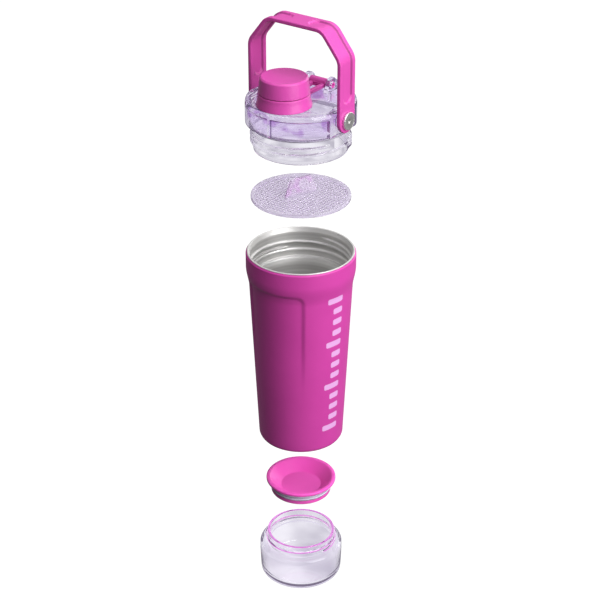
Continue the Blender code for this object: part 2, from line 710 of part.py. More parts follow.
def make_lid_gasket(frame):
    inner = SKIRT_RADIUS + TOUCH_GAP
    top = -TOUCH_GAP
    low = top - GASKET_HEIGHT
    round_off = 0.4 * MM
    points = [(inner, top), (PIECE_RADIUS - round_off, top), (PIECE_RADIUS, (top + low) / 2)]
    points += [(PIECE_RADIUS - round_off, low), (inner, low)]
    turned_piece("lid_gasket", points, frame, "pale_silicone")


def make_hinge_pin(frame):
    half = BARREL_HALF_LENGTH + TOUCH_GAP + EAR_THICKNESS - 0.2 * MM
    points = [(PIN_BORE, half), (PIN_RADIUS, half), (PIN_RADIUS, -half), (PIN_BORE, -half)]
    place = (0, HINGE_OFFSET, DRUM_HEIGHT + HINGE_RISE)
    pin = turned_piece("hinge_pin", points, frame, "pink_plastic", True, place, SMALL_SEGMENTS)
    stand_on_x(pin, 1)


def make_pivot_hardware(frame, side, label):
    # Local height 0 of each piece is on the drum's flat, and +Z points outwards along X.
    place = (side * FLAT_X, 0, PIVOT_RISE)
    strap_out = STRAP_OUTER_X - FLAT_X
    seat = strap_out + TOUCH_GAP
    head_top = seat + SCREW_HEAD_HEIGHT
    tip = -INSERT_LENGTH
    edge = 0.5 * MM
    screw = [(0, head_top), (SCREW_HEAD_RADIUS - edge, head_top), (SCREW_HEAD_RADIUS, head_top - edge)]
    screw += [(SCREW_HEAD_RADIUS, seat), (SCREW_RADIUS, seat), (SCREW_RADIUS, tip), (0, tip)]
    name = "handle_screw_" + label
    piece = turned_piece(name, screw, frame, "bare_steel", False, place, SPOUT_SEGMENTS)
    stand_on_x(piece, side)
    inner_key = side * (FLAT_X + head_top - SCREW_KEY_DEPTH)
    outer_key = side * (FLAT_X + head_top + 1 * MM)
    key = rod_mesh("key_" + label, SCREW_KEY, inner_key, outer_key, segments=6)
    cut(piece, add_cutter("key_" + label, key, frame, (0, 0, PIVOT_RISE)))
    low = TOUCH_GAP
    bush = [(BUSH_BORE, strap_out), (BUSH_RADIUS, strap_out), (BUSH_RADIUS, low), (BUSH_BORE, low)]
    piece = turned_piece("pivot_bush_" + label, bush, frame, "white_nylon", True, place, SMALL_SEGMENTS)
    stand_on_x(piece, side)
    top = -TOUCH_GAP
    end = top - INSERT_LENGTH
    bore = SCREW_RADIUS + TOUCH_GAP
    insert = [(bore, top), (INSERT_RADIUS, top), (INSERT_RADIUS, end), (bore, end)]
    piece = turned_piece("screw_insert_" + label, insert, frame, "bare_steel", True, place, SMALL_SEGMENTS)
    stand_on_x(piece, side)


# ---- handle ----

def bend_points(before, corner, after, steps):
    # The arc that rounds one corner of the strap's centre line, with its outward normals.
    into = (corner - before).normalized()
    out = (after - corner).normalized()
    turn_angle = into.angle(out)
    reach = BEND_RADIUS * math.tan(turn_angle / 2)
    start = corner - into * reach
    inward = Vector((-into.y, into.x))
    centre = start + inward * BEND_RADIUS
    stations = []
    for step in range(steps + 1):
        angle = turn_angle * step / steps
        normal = into * math.sin(angle) - inward * math.cos(angle)
        stations.append((centre + normal * BEND_RADIUS, normal))
    return stations


def strap_line(low, stop):
    # Half of the strap's centre line: up the +X arm from low, round two bends, in to x = stop.
    arm_x = STRAP_INNER_X + STRAP_THICKNESS / 2
    top = HANDLE_RISE - STRAP_THICKNESS / 2
    corners = [Vector((arm_x, low)), Vector((arm_x, top - SHOULDER_DROP))]
    corners += [Vector((arm_x - SHOULDER_INSET, top)), Vector((stop, top))]
    stations = [(corners[0], Vector((1, 0)))]
    for index in (1, 2):
        stations += bend_points(corners[index - 1], corners[index], corners[index + 1], 4)
    return stations + [(corners[3], Vector((0, 1)))]


def round_end(point, normal, outward, half_width):
    # Stations that close a band with a half-round end, from the tip to the full width.
    stations = []
    for angle in (78, 62, 44, 24):
        radians = math.radians(angle)
        along = outward * half_width * math.sin(radians)
        stations.append((point + along, normal, half_width * math.cos(radians)))
    return stations


def band_mesh(name, stations, offset):
    # A flat strip across the strap, shifted along its normals by the offset.
    shape = bmesh.new()
    rows = []
    for point, normal, half_width in stations:
        spot = point + normal * offset
        rows.append([shape.verts.new((spot.x, y, spot.y)) for y in (-half_width, half_width)])
    for first, second in zip(rows, rows[1:]):
        shape.faces.new((first[0], second[0], second[1], first[1]))
    return finish_mesh(name, shape)


def band_stations(low, stop, half_width, round_stop):
    line = strap_line(low, stop)
    down = Vector((0, -1))
    inwards = Vector((-1, 0))
    stations = round_end(line[0][0], line[0][1], down, half_width)
    stations += [(point, normal, half_width) for point, normal in line]
    if round_stop:
        stations += round_end(line[-1][0], line[-1][1], inwards, half_width)[::-1]
    return stations


def thicken(item, thickness):
    mirror = item.modifiers.new("Other arm", "MIRROR")
    mirror.merge_threshold = WELD
    wall = item.modifiers.new("Thickness", "SOLIDIFY")
    wall.thickness = thickness
    wall.offset = 0
    wall.use_even_offset = True


def channel_cutter(name, frame, low, face):
    # A shallow channel in the strap's outer (face 1) or inner (face -1) side.
    thickness = 2 * MM
    offset = face * (STRAP_THICKNESS / 2 - CHANNEL_DEPTH + thickness / 2)
    stations = band_stations(low, CHANNEL_STOP, CHANNEL_HALF_WIDTH, True)
    cutter = add_cutter(name, band_mesh(name, stations, offset), frame)
    thicken(cutter, thickness)
    return cutter


def make_handle(frame):
    stations = band_stations(0, 0, STRAP_HALF_WIDTH, False)
    handle = add_piece("handle", band_mesh("handle", stations, 0), frame, "pink_plastic")
    thicken(handle, STRAP_THICKNESS)
    edges = handle.modifiers.new("Soft edges", "BEVEL")
    edges.width = STRAP_EDGE
    edges.segments = 1
    edges.limit_method = "ANGLE"
    edges.angle_limit = math.radians(50)
    cut(handle, channel_cutter("outer_channel", frame, OUTER_CHANNEL_START, 1))
    cut(handle, channel_cutter("inner_channel", frame, INNER_CHANNEL_START, -1))
    reach = STRAP_OUTER_X + 5 * MM
    hole = rod_mesh("handle_pivot_hole", BUSH_RADIUS + TOUCH_GAP, -reach, reach)
    cut(handle, add_cutter("handle_pivot_hole", hole, frame))


# ---- spout cap ----

def make_spout_cap(frame):
    # Local height 0 is the seam between the cap and its collar.
    roof = SPOUT_HEIGHT + 2 * TOUCH_GAP + 2 * MM - (SEAM_Z - DECK_Z)
    low = -COLLAR_HEIGHT + 0.6 * MM
    bead_top = -2 * MM - 2 * TOUCH_GAP
    bead = CAP_SKIRT + SNAP_BEAD - TOUCH_GAP
    points = [(0, CAP_HEIGHT), (CAP_TOP_RADIUS - CAP_CHAMFER, CAP_HEIGHT)]
    points += [(CAP_TOP_RADIUS, CAP_HEIGHT - CAP_CHAMFER), (SEAM_RADIUS, 0), (CAP_SKIRT, 0)]
    points += ridge(CAP_SKIRT, bead, bead_top, 2.4 * MM)
    points += [(CAP_SKIRT, low), (CAP_BORE, low), (CAP_BORE, roof), (0, roof)]
    turned_piece("spout_cap", points, frame, "pink_plastic", closed=False, segments=CAP_SEGMENTS)
    top = roof - TOUCH_GAP
    disc = [(0, top), (CAP_BORE - TOUCH_GAP, top), (CAP_BORE - TOUCH_GAP, top - 2 * MM), (0, top - 2 * MM)]
    turned_piece("spout_cap_gasket", disc, frame, "pale_silicone", closed=False, segments=CAP_SEGMENTS)


def make_cap_tether(frame):
    # The frame is on the hinge axis. The collar's own axis is in front of it.
    collar_top = SEAM_Z - TOUCH_GAP - (DECK_Z + HINGE_RISE)
    low = collar_top - COLLAR_HEIGHT
    lip = collar_top - 2 * MM
    outer = SEAM_RADIUS + COLLAR_FLARE
    points = [(SEAM_RADIUS, collar_top), (outer, low), (COLLAR_BORE, low), (COLLAR_BORE, lip)]
    points += [(COLLAR_LIP, lip + 0.3 * MM), (COLLAR_LIP, collar_top)]
    tether = add_piece("cap_tether", collar_mesh(points), frame, "pink_plastic")
    arm_start = -HINGE_OFFSET - SPOUT_OFFSET + COLLAR_BORE + 1 * MM
    arm_low = -TETHER_THICKNESS / 2 - 0.6 * MM
    arm_top = arm_low + TETHER_THICKNESS
    half = TETHER_HALF_WIDTH
    arm = box_mesh("tether_arm", (-half, arm_start, arm_low), (half, 0, arm_top))
    join(tether, add_cutter("tether_arm", arm, frame))
    barrel = rod_mesh("tether_barrel", BARREL_RADIUS, -BARREL_HALF_LENGTH, BARREL_HALF_LENGTH)
    join(tether, add_cutter("tether_barrel", barrel, frame))
    window_low = (-WINDOW_HALF_WIDTH, -HINGE_OFFSET - SPOUT_OFFSET + outer + 0.8 * MM, -10 * MM)
    window_high = (WINDOW_HALF_WIDTH, -WINDOW_MARGIN, 10 * MM)
    window = box_mesh("tether_window", window_low, window_high)
    cut(tether, add_cutter("tether_window", window, frame))
    reach = BARREL_HALF_LENGTH + 1 * MM
    bore = rod_mesh("tether_bore", PIN_RADIUS + TOUCH_GAP, -reach, reach)
    cut(tether, add_cutter("tether_bore", bore, frame))


def collar_mesh(points):
    # The collar is spun about the cap's axis, and its mesh is kept in the hinge's frame.
    shape = bmesh.new()
    verts = [shape.verts.new((radius, 0, height)) for radius, height in points]
    edges = [shape.edges.new((verts[index - 1], verts[index])) for index in range(len(verts))]
    bmesh.ops.spin(
        shape, geom=verts + edges, axis=(0, 0, 1), cent=(0, 0, 0), angle=math.tau, steps=CAP_SEGMENTS,
        use_merge=True,
    )
    bmesh.ops.remove_doubles(shape, verts=shape.verts, dist=WELD)
    shape.normal_update()
    bmesh.ops.recalc_face_normals(shape, faces=shape.faces)
    bmesh.ops.translate(shape, verts=shape.verts, vec=(0, -HINGE_OFFSET - SPOUT_OFFSET, 0))
    return finish_mesh("cap_tether", shape)


# ---- jar and stopper ----

def make_jar(frame):
    body = BASE_RADIUS + JAR_BULGE
    foot = body - JAR_TAPER
    neck_low = JAR_SHOULDER
    bend = 3 * MM
    thread_top = JAR_HEIGHT - JAR_THREAD_DROP
    edge = 0.5 * MM
    shoulder_round = 1 * MM
    inner_body = body - JAR_WALL
    inner_foot = foot - JAR_WALL
    points = [(NECK_RADIUS - edge, JAR_HEIGHT), (NECK_RADIUS, JAR_HEIGHT - edge)]
    points += ridge(NECK_RADIUS, NECK_CREST, thread_top, JAR_THREAD_WIDTH)
    points += [(NECK_RADIUS, neck_low), (body - bend, neck_low)]
    points += [(body - bend * ROUND_SHARE, neck_low - bend * ROUND_SHARE)]
    points += [(body, neck_low - bend), (foot, JAR_FILLET)]
    points += [(foot - JAR_FILLET * ROUND_SHARE, JAR_FILLET * ROUND_SHARE)]
    points += [(foot - JAR_FILLET, 0), (0, 0), (0, JAR_FLOOR), (inner_foot - JAR_FILLET, JAR_FLOOR)]
    points += [(inner_foot, JAR_FLOOR + JAR_FILLET), (inner_body, neck_low - bend - JAR_WALL)]
    points += [(NECK_BORE + shoulder_round, neck_low - JAR_WALL + shoulder_round), (NECK_BORE, neck_low)]
    points += [(NECK_BORE, JAR_HEIGHT - edge), (NECK_BORE + edge, JAR_HEIGHT)]
    # The outline crosses the axis twice, so it is opened between the two floor centres.
    split = points.index((0, JAR_FLOOR))
    turned_piece("jar", points[split:] + points[:split], frame, "clear_plastic", closed=False)


def make_stopper(frame):
    # Local height 0 is the top of the flange.
    seal_inner = SEAL_RADIUS - SEAL_RIB - SEAL_WALL
    groove = seal_inner - TOUCH_GAP
    plug = SEAL_RADIUS - SEAL_RIB
    dish = FLANGE_RADIUS - FLANGE_WIDTH
    floor = dish - DISH_WIDTH
    edge = 0.9 * MM
    low = -STOPPER_HEIGHT
    under = -DISH_DEPTH - DISH_FLOOR
    points = [(0, -DISH_DEPTH), (floor, -DISH_DEPTH), (floor + DISH_WIDTH * 0.3, -DISH_DEPTH * 0.84)]
    points += [(dish - DISH_WIDTH * 0.3, -DISH_DEPTH * 0.34), (dish, -edge), (dish + edge, 0)]
    points += [(FLANGE_RADIUS - edge, 0), (FLANGE_RADIUS, -edge), (FLANGE_RADIUS, edge - FLANGE_THICKNESS)]
    points += [(FLANGE_RADIUS - edge, -FLANGE_THICKNESS), (plug, -FLANGE_THICKNESS)]
    points += [(plug, -SEAL_TOP + TOUCH_GAP), (groove, -SEAL_TOP + TOUCH_GAP)]
    points += [(groove, -SEAL_BOTTOM - TOUCH_GAP), (plug, -SEAL_BOTTOM - TOUCH_GAP)]
    points += [(plug, low + edge), (plug - edge, low), (groove - 1.5 * MM, low)]
    points += [(groove - 3.5 * MM, under), (0, under)]
    turned_piece("jar_stopper", points, frame, "pink_plastic", closed=False)
    body = SEAL_RADIUS - SEAL_RIB
    rib = (SEAL_BOTTOM - SEAL_TOP) / 5
    seal = [(seal_inner, -SEAL_TOP), (body, -SEAL_TOP)]
    seal += [(body, -SEAL_TOP - rib), (SEAL_RADIUS, -SEAL_TOP - 1.5 * rib), (body, -SEAL_TOP - 2 * rib)]
    seal += [(body, -SEAL_TOP - 3 * rib), (SEAL_RADIUS, -SEAL_TOP - 3.5 * rib)]
    seal += [(body, -SEAL_TOP - 4 * rib), (body, -SEAL_BOTTOM), (seal_inner, -SEAL_BOTTOM)]
    turned_piece("stopper_seal", seal, frame, "pale_silicone")


jar_frame = new_frame("jar_frame", (0, 0, 0))
stopper_frame = new_frame("stopper_frame", (0, 0, STOPPER_TOP_Z))
cup_frame = new_frame("cup_frame", (0, 0, CUP_RIM_Z))
grid_frame = new_frame("grid_frame", (0, 0, GRID_Z))
lid_frame = new_frame("lid_frame", (0, 0, DRUM_Z))
handle_frame = new_frame("handle_frame", (0, 0, PIVOT_RISE), lid_frame)
tether_frame = new_frame("tether_frame", (0, HINGE_OFFSET, DRUM_HEIGHT + HINGE_RISE), lid_frame)
cap_frame = new_frame("cap_frame", (0, -SPOUT_OFFSET, SEAM_Z - DRUM_Z), lid_frame)

make_jar(jar_frame)
make_stopper(stopper_frame)
make_outer_shell(cup_frame)
make_inner_liner(cup_frame)
make_cup_base(cup_frame)
make_mixing_grid(grid_frame)
make_lid_body(lid_frame)
make_lid_gasket(lid_frame)
make_hinge_pin(lid_frame)
for pivot_side, pivot_label in SIDES:
    make_pivot_hardware(lid_frame, pivot_side, pivot_label)
make_handle(handle_frame)
make_cap_tether(tether_frame)
make_spout_cap(cap_frame)
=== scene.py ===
# Shaker bottle laid out in the order in which it goes together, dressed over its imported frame.
# Sizes of the pieces are in millimetres, and those of the looks and the studio in metres, +Z up.
import math

import bmesh
import bpy
from mathutils import Matrix, Vector


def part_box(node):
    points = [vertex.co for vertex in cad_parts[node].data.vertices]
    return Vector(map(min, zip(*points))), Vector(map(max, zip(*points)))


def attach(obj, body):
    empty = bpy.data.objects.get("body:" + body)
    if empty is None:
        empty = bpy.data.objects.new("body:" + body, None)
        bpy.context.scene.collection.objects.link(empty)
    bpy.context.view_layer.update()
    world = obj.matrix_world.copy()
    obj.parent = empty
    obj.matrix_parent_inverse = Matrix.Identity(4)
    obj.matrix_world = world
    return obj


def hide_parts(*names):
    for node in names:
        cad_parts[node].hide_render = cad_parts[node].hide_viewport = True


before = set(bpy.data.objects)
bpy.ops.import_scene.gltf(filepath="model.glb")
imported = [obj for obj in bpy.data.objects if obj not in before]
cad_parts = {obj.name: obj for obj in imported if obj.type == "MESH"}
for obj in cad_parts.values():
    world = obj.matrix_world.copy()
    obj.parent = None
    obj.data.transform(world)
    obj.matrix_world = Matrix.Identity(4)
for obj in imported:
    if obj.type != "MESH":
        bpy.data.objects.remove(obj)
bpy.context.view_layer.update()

mm = 0.001
fullTurn = math.tau
fitGap = 0.3  # between neighbouring pieces
sharpAngle = math.radians(35)  # sharper edges aren't shaded smooth


class Wire:
    # A socket that can be used in sums: each sum adds one Math node.
    def __init__(self, nodes, socket):
        self.nodes = nodes
        self.socket = socket

    def sum(self, operation, first, second=0.0):
        node = self.nodes.add("ShaderNodeMath", {"operation": operation}, {0: first, 1: second})
        return Wire(self.nodes, node.outputs[0])

    def __add__(self, other):
        return self.sum("ADD", self, other)

    def __radd__(self, other):
        return self.sum("ADD", other, self)

    def __sub__(self, other):
        return self.sum("SUBTRACT", self, other)

    def __rsub__(self, other):
        return self.sum("SUBTRACT", other, self)

    def __mul__(self, other):
        return self.sum("MULTIPLY", self, other)

    def __rmul__(self, other):
        return self.sum("MULTIPLY", other, self)

    def __truediv__(self, other):
        return self.sum("DIVIDE", self, other)

    def __rtruediv__(self, other):
        return self.sum("DIVIDE", other, self)

    def __gt__(self, other):
        return self.sum("GREATER_THAN", self, other)

    def __lt__(self, other):
        return self.sum("LESS_THAN", self, other)

    def root(self):
        return self.sum("SQRT", self)

    def clamp(self):
        return self.sum("MINIMUM", self.sum("MAXIMUM", self, 0.0), 1.0)

    def ramp(self, start, width):
        # From 0 at the start to 1 a width further on.
        return ((self - start) / width).clamp()


class Nodes:
    # A node tree and the ways of adding to it.
    def __init__(self, tree):
        self.tree = tree

    def feed(self, node, sockets):
        for key, value in sockets.items():
            socket = node.inputs[key]
            if isinstance(value, Wire):
                self.tree.links.new(value.socket, socket)
            elif isinstance(value, tuple) and socket.type == "RGBA":
                socket.default_value = (*value, 1.0)
            else:
                socket.default_value = value

    def add(self, kind, settings, sockets):
        node = self.tree.nodes.new(kind)
        for key, value in settings.items():
            setattr(node, key, value)
        self.feed(node, sockets)
        return node

    def spot(self, output):
        # Where a point is, in one kind of coordinates.
        return Wire(self, self.add("ShaderNodeTexCoord", {}, {}).outputs[output])

    def rays(self, *kinds):
        # Whether a ray is of each kind.
        path = self.add("ShaderNodeLightPath", {}, {})
        return [Wire(self, path.outputs[kind]) for kind in kinds]

    def axes(self, vector):
        node = self.add("ShaderNodeSeparateXYZ", {}, {0: vector})
        return [Wire(self, output) for output in node.outputs]

    def mixColours(self, share, first, second):
        node = self.add("ShaderNodeMix", {"data_type": "RGBA"}, {0: share, 6: first, 7: second})
        return Wire(self, node.outputs[2])


class Finish(Nodes):
    # One material and its shader.
    def __init__(self, name):
        self.material = bpy.data.materials.new(name)
        self.material.use_nodes = True
        super().__init__(self.material.node_tree)
        self.shader = self.tree.nodes["Principled BSDF"]

    def place(self, centre=(0, 0, 0)):
        # Where a point of the surface is, as seen from the centre.
        sockets = {0: self.spot("Object"), 1: centre}
        return Wire(self, self.add("ShaderNodeVectorMath", {"operation": "SUBTRACT"}, sockets).outputs[0])

    def join(self, x, y, z):
        return Wire(self, self.add("ShaderNodeCombineXYZ", {}, {0: x, 1: y, 2: z}).outputs[0])

    def noise(self, vector, scale, detail=2.0):
        sockets = {"Vector": vector, "Scale": scale, "Detail": detail}
        return Wire(self, self.add("ShaderNodeTexNoise", {}, sockets).outputs["Fac"])

    def bump(self, height, strength, distance):
        sockets = {"Height": height, "Strength": strength, "Distance": distance}
        return Wire(self, self.add("ShaderNodeBump", {}, sockets).outputs[0])


def awayFrom(first, second):
    # How far a point is from an axis.
    return (first * first + second * second).root()


def toned(colour, share):
    return tuple(value * share for value in colour)


mattLook = {
    "roughness": 0.5, "swing": 0.12, "grain": 900.0, "detail": 3.0, "drift": None, "bump": 0.12,
    "bumpDepth": 0.0001, "specular": 0.5, "sheer": 0.0,
}
coatLook = {
    **mattLook, "deep": (0.57, 0.046, 0.335), "bright": (0.63, 0.056, 0.375), "roughness": 0.45,
    "swing": 0.08, "grain": 2600.0, "detail": 1.0, "drift": 40.0, "bump": 0.16, "bumpDepth": 0.00012,
    "specular": 0.36,
}
plasticLook = {
    **mattLook, "deep": (0.58, 0.062, 0.350), "bright": (0.63, 0.074, 0.385), "roughness": 0.36, "swing": 0.1,
    "grain": 1400.0, "detail": 2.0, "drift": 55.0, "bump": 0.1, "specular": 0.34,
}


def mattFinish(name, look, shadePainter=None):
    # A colour that drifts between two tones under a fine grain. A shade painter, if given, darkens it in
    # places with painted shade.
    finish = Finish(name)
    spot = finish.place()
    grain = finish.noise(spot, look["grain"], look["detail"])
    drift = finish.noise(spot, look["drift"]) if look["drift"] else grain
    colour = finish.mixColours(drift, look["deep"], look["bright"])
    if shadePainter:
        colour = shadePainter(finish, spot, colour)
    finish.feed(finish.shader, {
        "Base Color": colour,
        "Roughness": look["roughness"] + look["swing"] * (grain - 0.5),
        "Normal": finish.bump(grain, look["bump"], look["bumpDepth"]),
        "Specular IOR Level": look["specular"],
        "Transmission Weight": look["sheer"],
    })
    return finish.material


steelLook = {
    "dark": (0.54, 0.535, 0.525), "light": (0.78, 0.775, 0.76), "bandScale": 210.0, "bandFrom": 0.34,
    "bandSoft": 0.26, "metallic": 0.94, "brushed": 0.3, "brushTurn": 0.25, "lines": 1500.0, "swing": 0.12,
    "bump": 0.1, "bumpDepth": 0.00004,
}


def steelFinish(name, centre, axis, roughness, lines=steelLook["lines"]):
    # Brushed in rings round one axis: the lines run round, so they vary along and away from it.
    finish = Finish(name)
    parts = finish.axes(finish.place(centre))
    along = parts.pop(axis)
    section = finish.join(along, awayFrom(*parts), 0.0)
    rings = finish.noise(section, lines, 3.0)
    bands = finish.noise(section, steelLook["bandScale"], 1.0)
    bands = bands.ramp(steelLook["bandFrom"], steelLook["bandSoft"])
    finish.feed(finish.shader, {
        "Base Color": finish.mixColours(bands, steelLook["dark"], steelLook["light"]),
        "Roughness": roughness + steelLook["swing"] * (rings - 0.5),
        "Normal": finish.bump(rings, steelLook["bump"], steelLook["bumpDepth"]),
        "Metallic": steelLook["metallic"],
        "Anisotropic": steelLook["brushed"],
        "Anisotropic Rotation": steelLook["brushTurn"],
    })
    return finish.material


# Looks for clear plastics. Each gives off a faint painted glow in its lift colour.
sheerLook = {
    "cloud": 90.0, "cloudShade": 0.97, "patchStart": 0.54, "patchSoft": 0.08, "hazeScale": 300.0,
    "hazeStart": 0.4, "haze": 0.03, "paintedEdgeGlowGain": 2.0,
}
# In the lid and grid looks, the upper colour is a deeper tint, and the deep colour is painted shade laid on
# in patches.
clearLook = {
    **sheerLook, "tint": (0.955, 0.952, 0.962), "roughness": 0.02, "ior": 1.45, "through": 1.0,
    "lift": (0.5, 0.34, 0.7), "paintedGlowShare": 0.04, "upper": (0.93, 0.89, 0.975), "deep": (0.62, 0.40, 0.76),
    "patchScale": 75.0, "patchFrom": 43.5 * mm,
}
gridLook = {
    **sheerLook, "tint": (0.80, 0.755, 0.85), "roughness": 0.08, "ior": 1.3, "through": 0.85,
    "lift": (0.6, 0.42, 0.7), "paintedGlowShare": 0.06, "upper": (0.95, 0.90, 0.97), "deep": (0.92, 0.72, 0.94),
    "patchScale": 90.0, "patchFrom": 0.0,
}
# The jar's edge colour is a painted reflection, magenta on its rim and thread ridges, and it glows.
jarLook = {
    **sheerLook, "tint": (0.965, 0.955, 0.975), "roughness": 0.02, "ior": 1.42, "through": 1.0,
    "lift": (0.6, 0.5, 0.75), "paintedGlowShare": 0.05, "edge": (0.93, 0.16, 0.80), "neck": 31.7 * mm,
    "soft": 0.4 * mm, "foot": 34.5 * mm, "rim": 43.6 * mm,
}


def clearFinish(name, look, above=0.0):
    # A look may have a deeper upper part with patches of painted shade, and an edge colour on its rim and on
    # what stands proud of its neck: a painted reflection that also glows.
    finish = Finish(name)
    spot = finish.place()
    x, y, z = finish.axes(spot)
    away = awayFrom(x, y)
    shaded = toned(look["tint"], look["cloudShade"])
    colour = finish.mixColours(finish.noise(spot, look["cloud"]), shaded, look["tint"])
    # Painted glow: the clear plastic gives off faint light in its lift colour, though it is no lamp.
    glow = look["lift"]
    # Painted shade: darker patches in the deep colour over the upper part's deeper tint.
    if "upper" in look:
        patches = finish.noise(spot, look["patchScale"], 1.0).ramp(look["patchStart"], look["patchSoft"])
        patches = patches * (away > look["patchFrom"])
        colour = finish.mixColours(z > above, colour, finish.mixColours(patches, look["upper"], look["deep"]))
    # Painted reflection: a magenta edge colour on the rim and the thread ridges, which glows brighter than
    # the rest.
    if "edge" in look:
        proud = away.ramp(look["neck"], look["soft"]) * (z > look["foot"])
        paintedEdgeGlint = (proud + z.ramp(look["rim"], look["soft"])).clamp()
        colour = finish.mixColours(paintedEdgeGlint, colour, look["edge"])
        glow = finish.mixColours(paintedEdgeGlint, glow, toned(look["edge"], look["paintedEdgeGlowGain"]))
    haze = (finish.noise(spot, look["hazeScale"]) - look["hazeStart"]).clamp()
    finish.feed(finish.shader, {
        "Base Color": colour,
        "Roughness": look["roughness"] + look["haze"] * haze,
        "IOR": look["ior"],
        "Transmission Weight": look["through"],
        "Emission Color": glow,
        "Emission Strength": look["paintedGlowShare"],
    })
    return finish.material


def ease(value):
    value = min(max(value, 0.0), 1.0)
    return value * value * (3 - 2 * value)


def roundOff(points, cornerSteps=5):
    # Rounds each corner that has a third value, its reach along both sides.
    outline = []
    for index, point in enumerate(points):
        here = Vector(point[:2])
        reach = point[2] if len(point) > 2 else 0
        if not reach:
            outline.append(tuple(here))
            continue
        back = Vector(points[index - 1][:2]) - here
        ahead = Vector(points[(index + 1) % len(points)][:2]) - here
        start = here + back.normalized() * min(reach, back.length * 0.49)
        end = here + ahead.normalized() * min(reach, ahead.length * 0.49)
        for step in range(cornerSteps + 1):
            share = step / cornerSteps
            curve = start * (1 - share) ** 2 + here * 2 * share * (1 - share) + end * share ** 2
            outline.append(tuple(curve))
    return outline


def wallPoints(radius, start, end, gap=0.3, endRadius=None):
    # Evenly spaced points along a wall, for a thread to stand on.
    endRadius = radius if endRadius is None else endRadius
    count = max(2, round(abs(end - start) / gap))
    return [
        (radius + (endRadius - radius) * step / count, start + (end - start) * step / count)
        for step in range(count + 1)
    ]


def threadRise(thread, angle, height):
    # How far a helical ridge stands off its wall at one place.
    wound = (math.radians(thread["from"]) - angle) % fullTurn
    total = fullTurn * thread["turns"]
    rise = 0.0
    while wound < total:
        middle = thread["top"] - thread["pitch"] * wound / fullTurn
        off = abs(height - middle)
        shoulder = ease((thread["width"] / 2 - off) / thread["flank"])
        fade = ease(wound / thread["fade"]) * ease((total - wound) / thread["fade"])
        rise = max(rise, thread["height"] * shoulder * fade)
        wound += fullTurn
    return rise


def threaded(thread, wall, low=-math.inf, high=math.inf, outward=1, slack=0.01):
    # Puts a thread on the rows of an outline that stand at the wall's radius between two heights.
    def shift(angle, radius, height):
        if abs(radius - wall) > slack or height < low or height > high:
            return radius
        return radius + outward * threadRise(thread, angle, height)

    return shift


def revolve(outline, steps, place, along="Z", shift=None):
    # Turns an outline in millimetres into a closed mesh in metres.
    shape = bmesh.new()
    rings = []
    for radius, height in outline:
        if radius < 0.0001:
            rings.append([shape.verts.new((0, 0, height))] * steps)
            continue
        ring = []
        for step in range(steps):
            angle = fullTurn * step / steps
            reach = shift(angle, radius, height) if shift else radius
            ring.append(shape.verts.new((reach * math.cos(angle), reach * math.sin(angle), height)))
        rings.append(ring)
    for index, ring in enumerate(rings):
        below = rings[(index + 1) % len(rings)]
        for step in range(steps):
            after = (step + 1) % steps
            corners = []
            for vert in (ring[step], below[step], below[after], ring[after]):
                if vert not in corners:
                    corners.append(vert)
            if len(corners) > 2:
                shape.faces.new(corners)
    if along == "X":
        bmesh.ops.rotate(shape, verts=shape.verts, matrix=Matrix.Rotation(math.pi / 2, 3, "Y"))
    bmesh.ops.scale(shape, verts=shape.verts, vec=(mm, mm, mm))
    bmesh.ops.translate(shape, verts=shape.verts, vec=place)
    shape.normal_update()
    bmesh.ops.recalc_face_normals(shape, faces=shape.faces)
    return shape


def rod(radius, start, end, place, steps=48, along="X"):
    low, high = sorted((start, end))
    return revolve([(0, high), (radius, high), (radius, low), (0, low)], steps, place, along)


def blockShape(low, high, place, edge=0.0):
    # A box in millimetres, with its edges rounded.
    shape = bmesh.new()
    bmesh.ops.create_cube(shape, size=1)
    for vert in shape.verts:
        for axis in range(3):
            vert.co[axis] = (low[axis] + (vert.co[axis] + 0.5) * (high[axis] - low[axis])) * mm + place[axis]
    if edge:
        bmesh.ops.bevel(shape, geom=shape.edges[:], offset=edge * mm, segments=4, affect="EDGES", profile=0.5)
    return shape


def weave(shape, lines):
    # Fills the space between lines of points with four-sided faces.
    for upper, lower in zip(lines, lines[1:]):
        for corners in zip(upper, upper[1:], lower[1:], lower):
            shape.faces.new(corners)


def smooth(mesh):
    mesh.shade_smooth()
    mesh.set_sharp_from_angle(angle=sharpAngle)


def looseObject(name, shape):
    mesh = bpy.data.meshes.new(name)
    shape.to_mesh(mesh)
    shape.free()
    smooth(mesh)
    item = bpy.data.objects.new(name, mesh)
    bpy.context.scene.collection.objects.link(item)
    return item


def turned(name, outline, steps, place, along="Z", shift=None):
    return looseObject(name, revolve(outline, steps, place, along, shift))


def carve(item, steps):
    # Joins and cuts an object with others, in order, and keeps only the result.
    for tool, operation in steps:
        change = item.modifiers.new(tool.name, "BOOLEAN")
        change.operation = operation
        change.solver = "EXACT"
        change.object = tool
    bpy.context.view_layer.update()
    graph = bpy.context.evaluated_depsgraph_get()
    mesh = bpy.data.meshes.new_from_object(item.evaluated_get(graph))
    item.modifiers.clear()
    item.data = mesh
    for tool, _ in steps:
        bpy.data.objects.remove(tool)
    cleaned = bmesh.new()
    cleaned.from_mesh(mesh)
    bmesh.ops.dissolve_degenerate(cleaned, dist=1e-7, edges=cleaned.edges)
    cleaned.to_mesh(mesh)
    cleaned.free()
    smooth(mesh)
    return item


def dress(item, body, node, material):
    # Puts a piece on its body, in place of its plain node.
    item.data.materials.clear()
    item.data.materials.append(material)
    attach(item, body)
    if node:
        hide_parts(node)


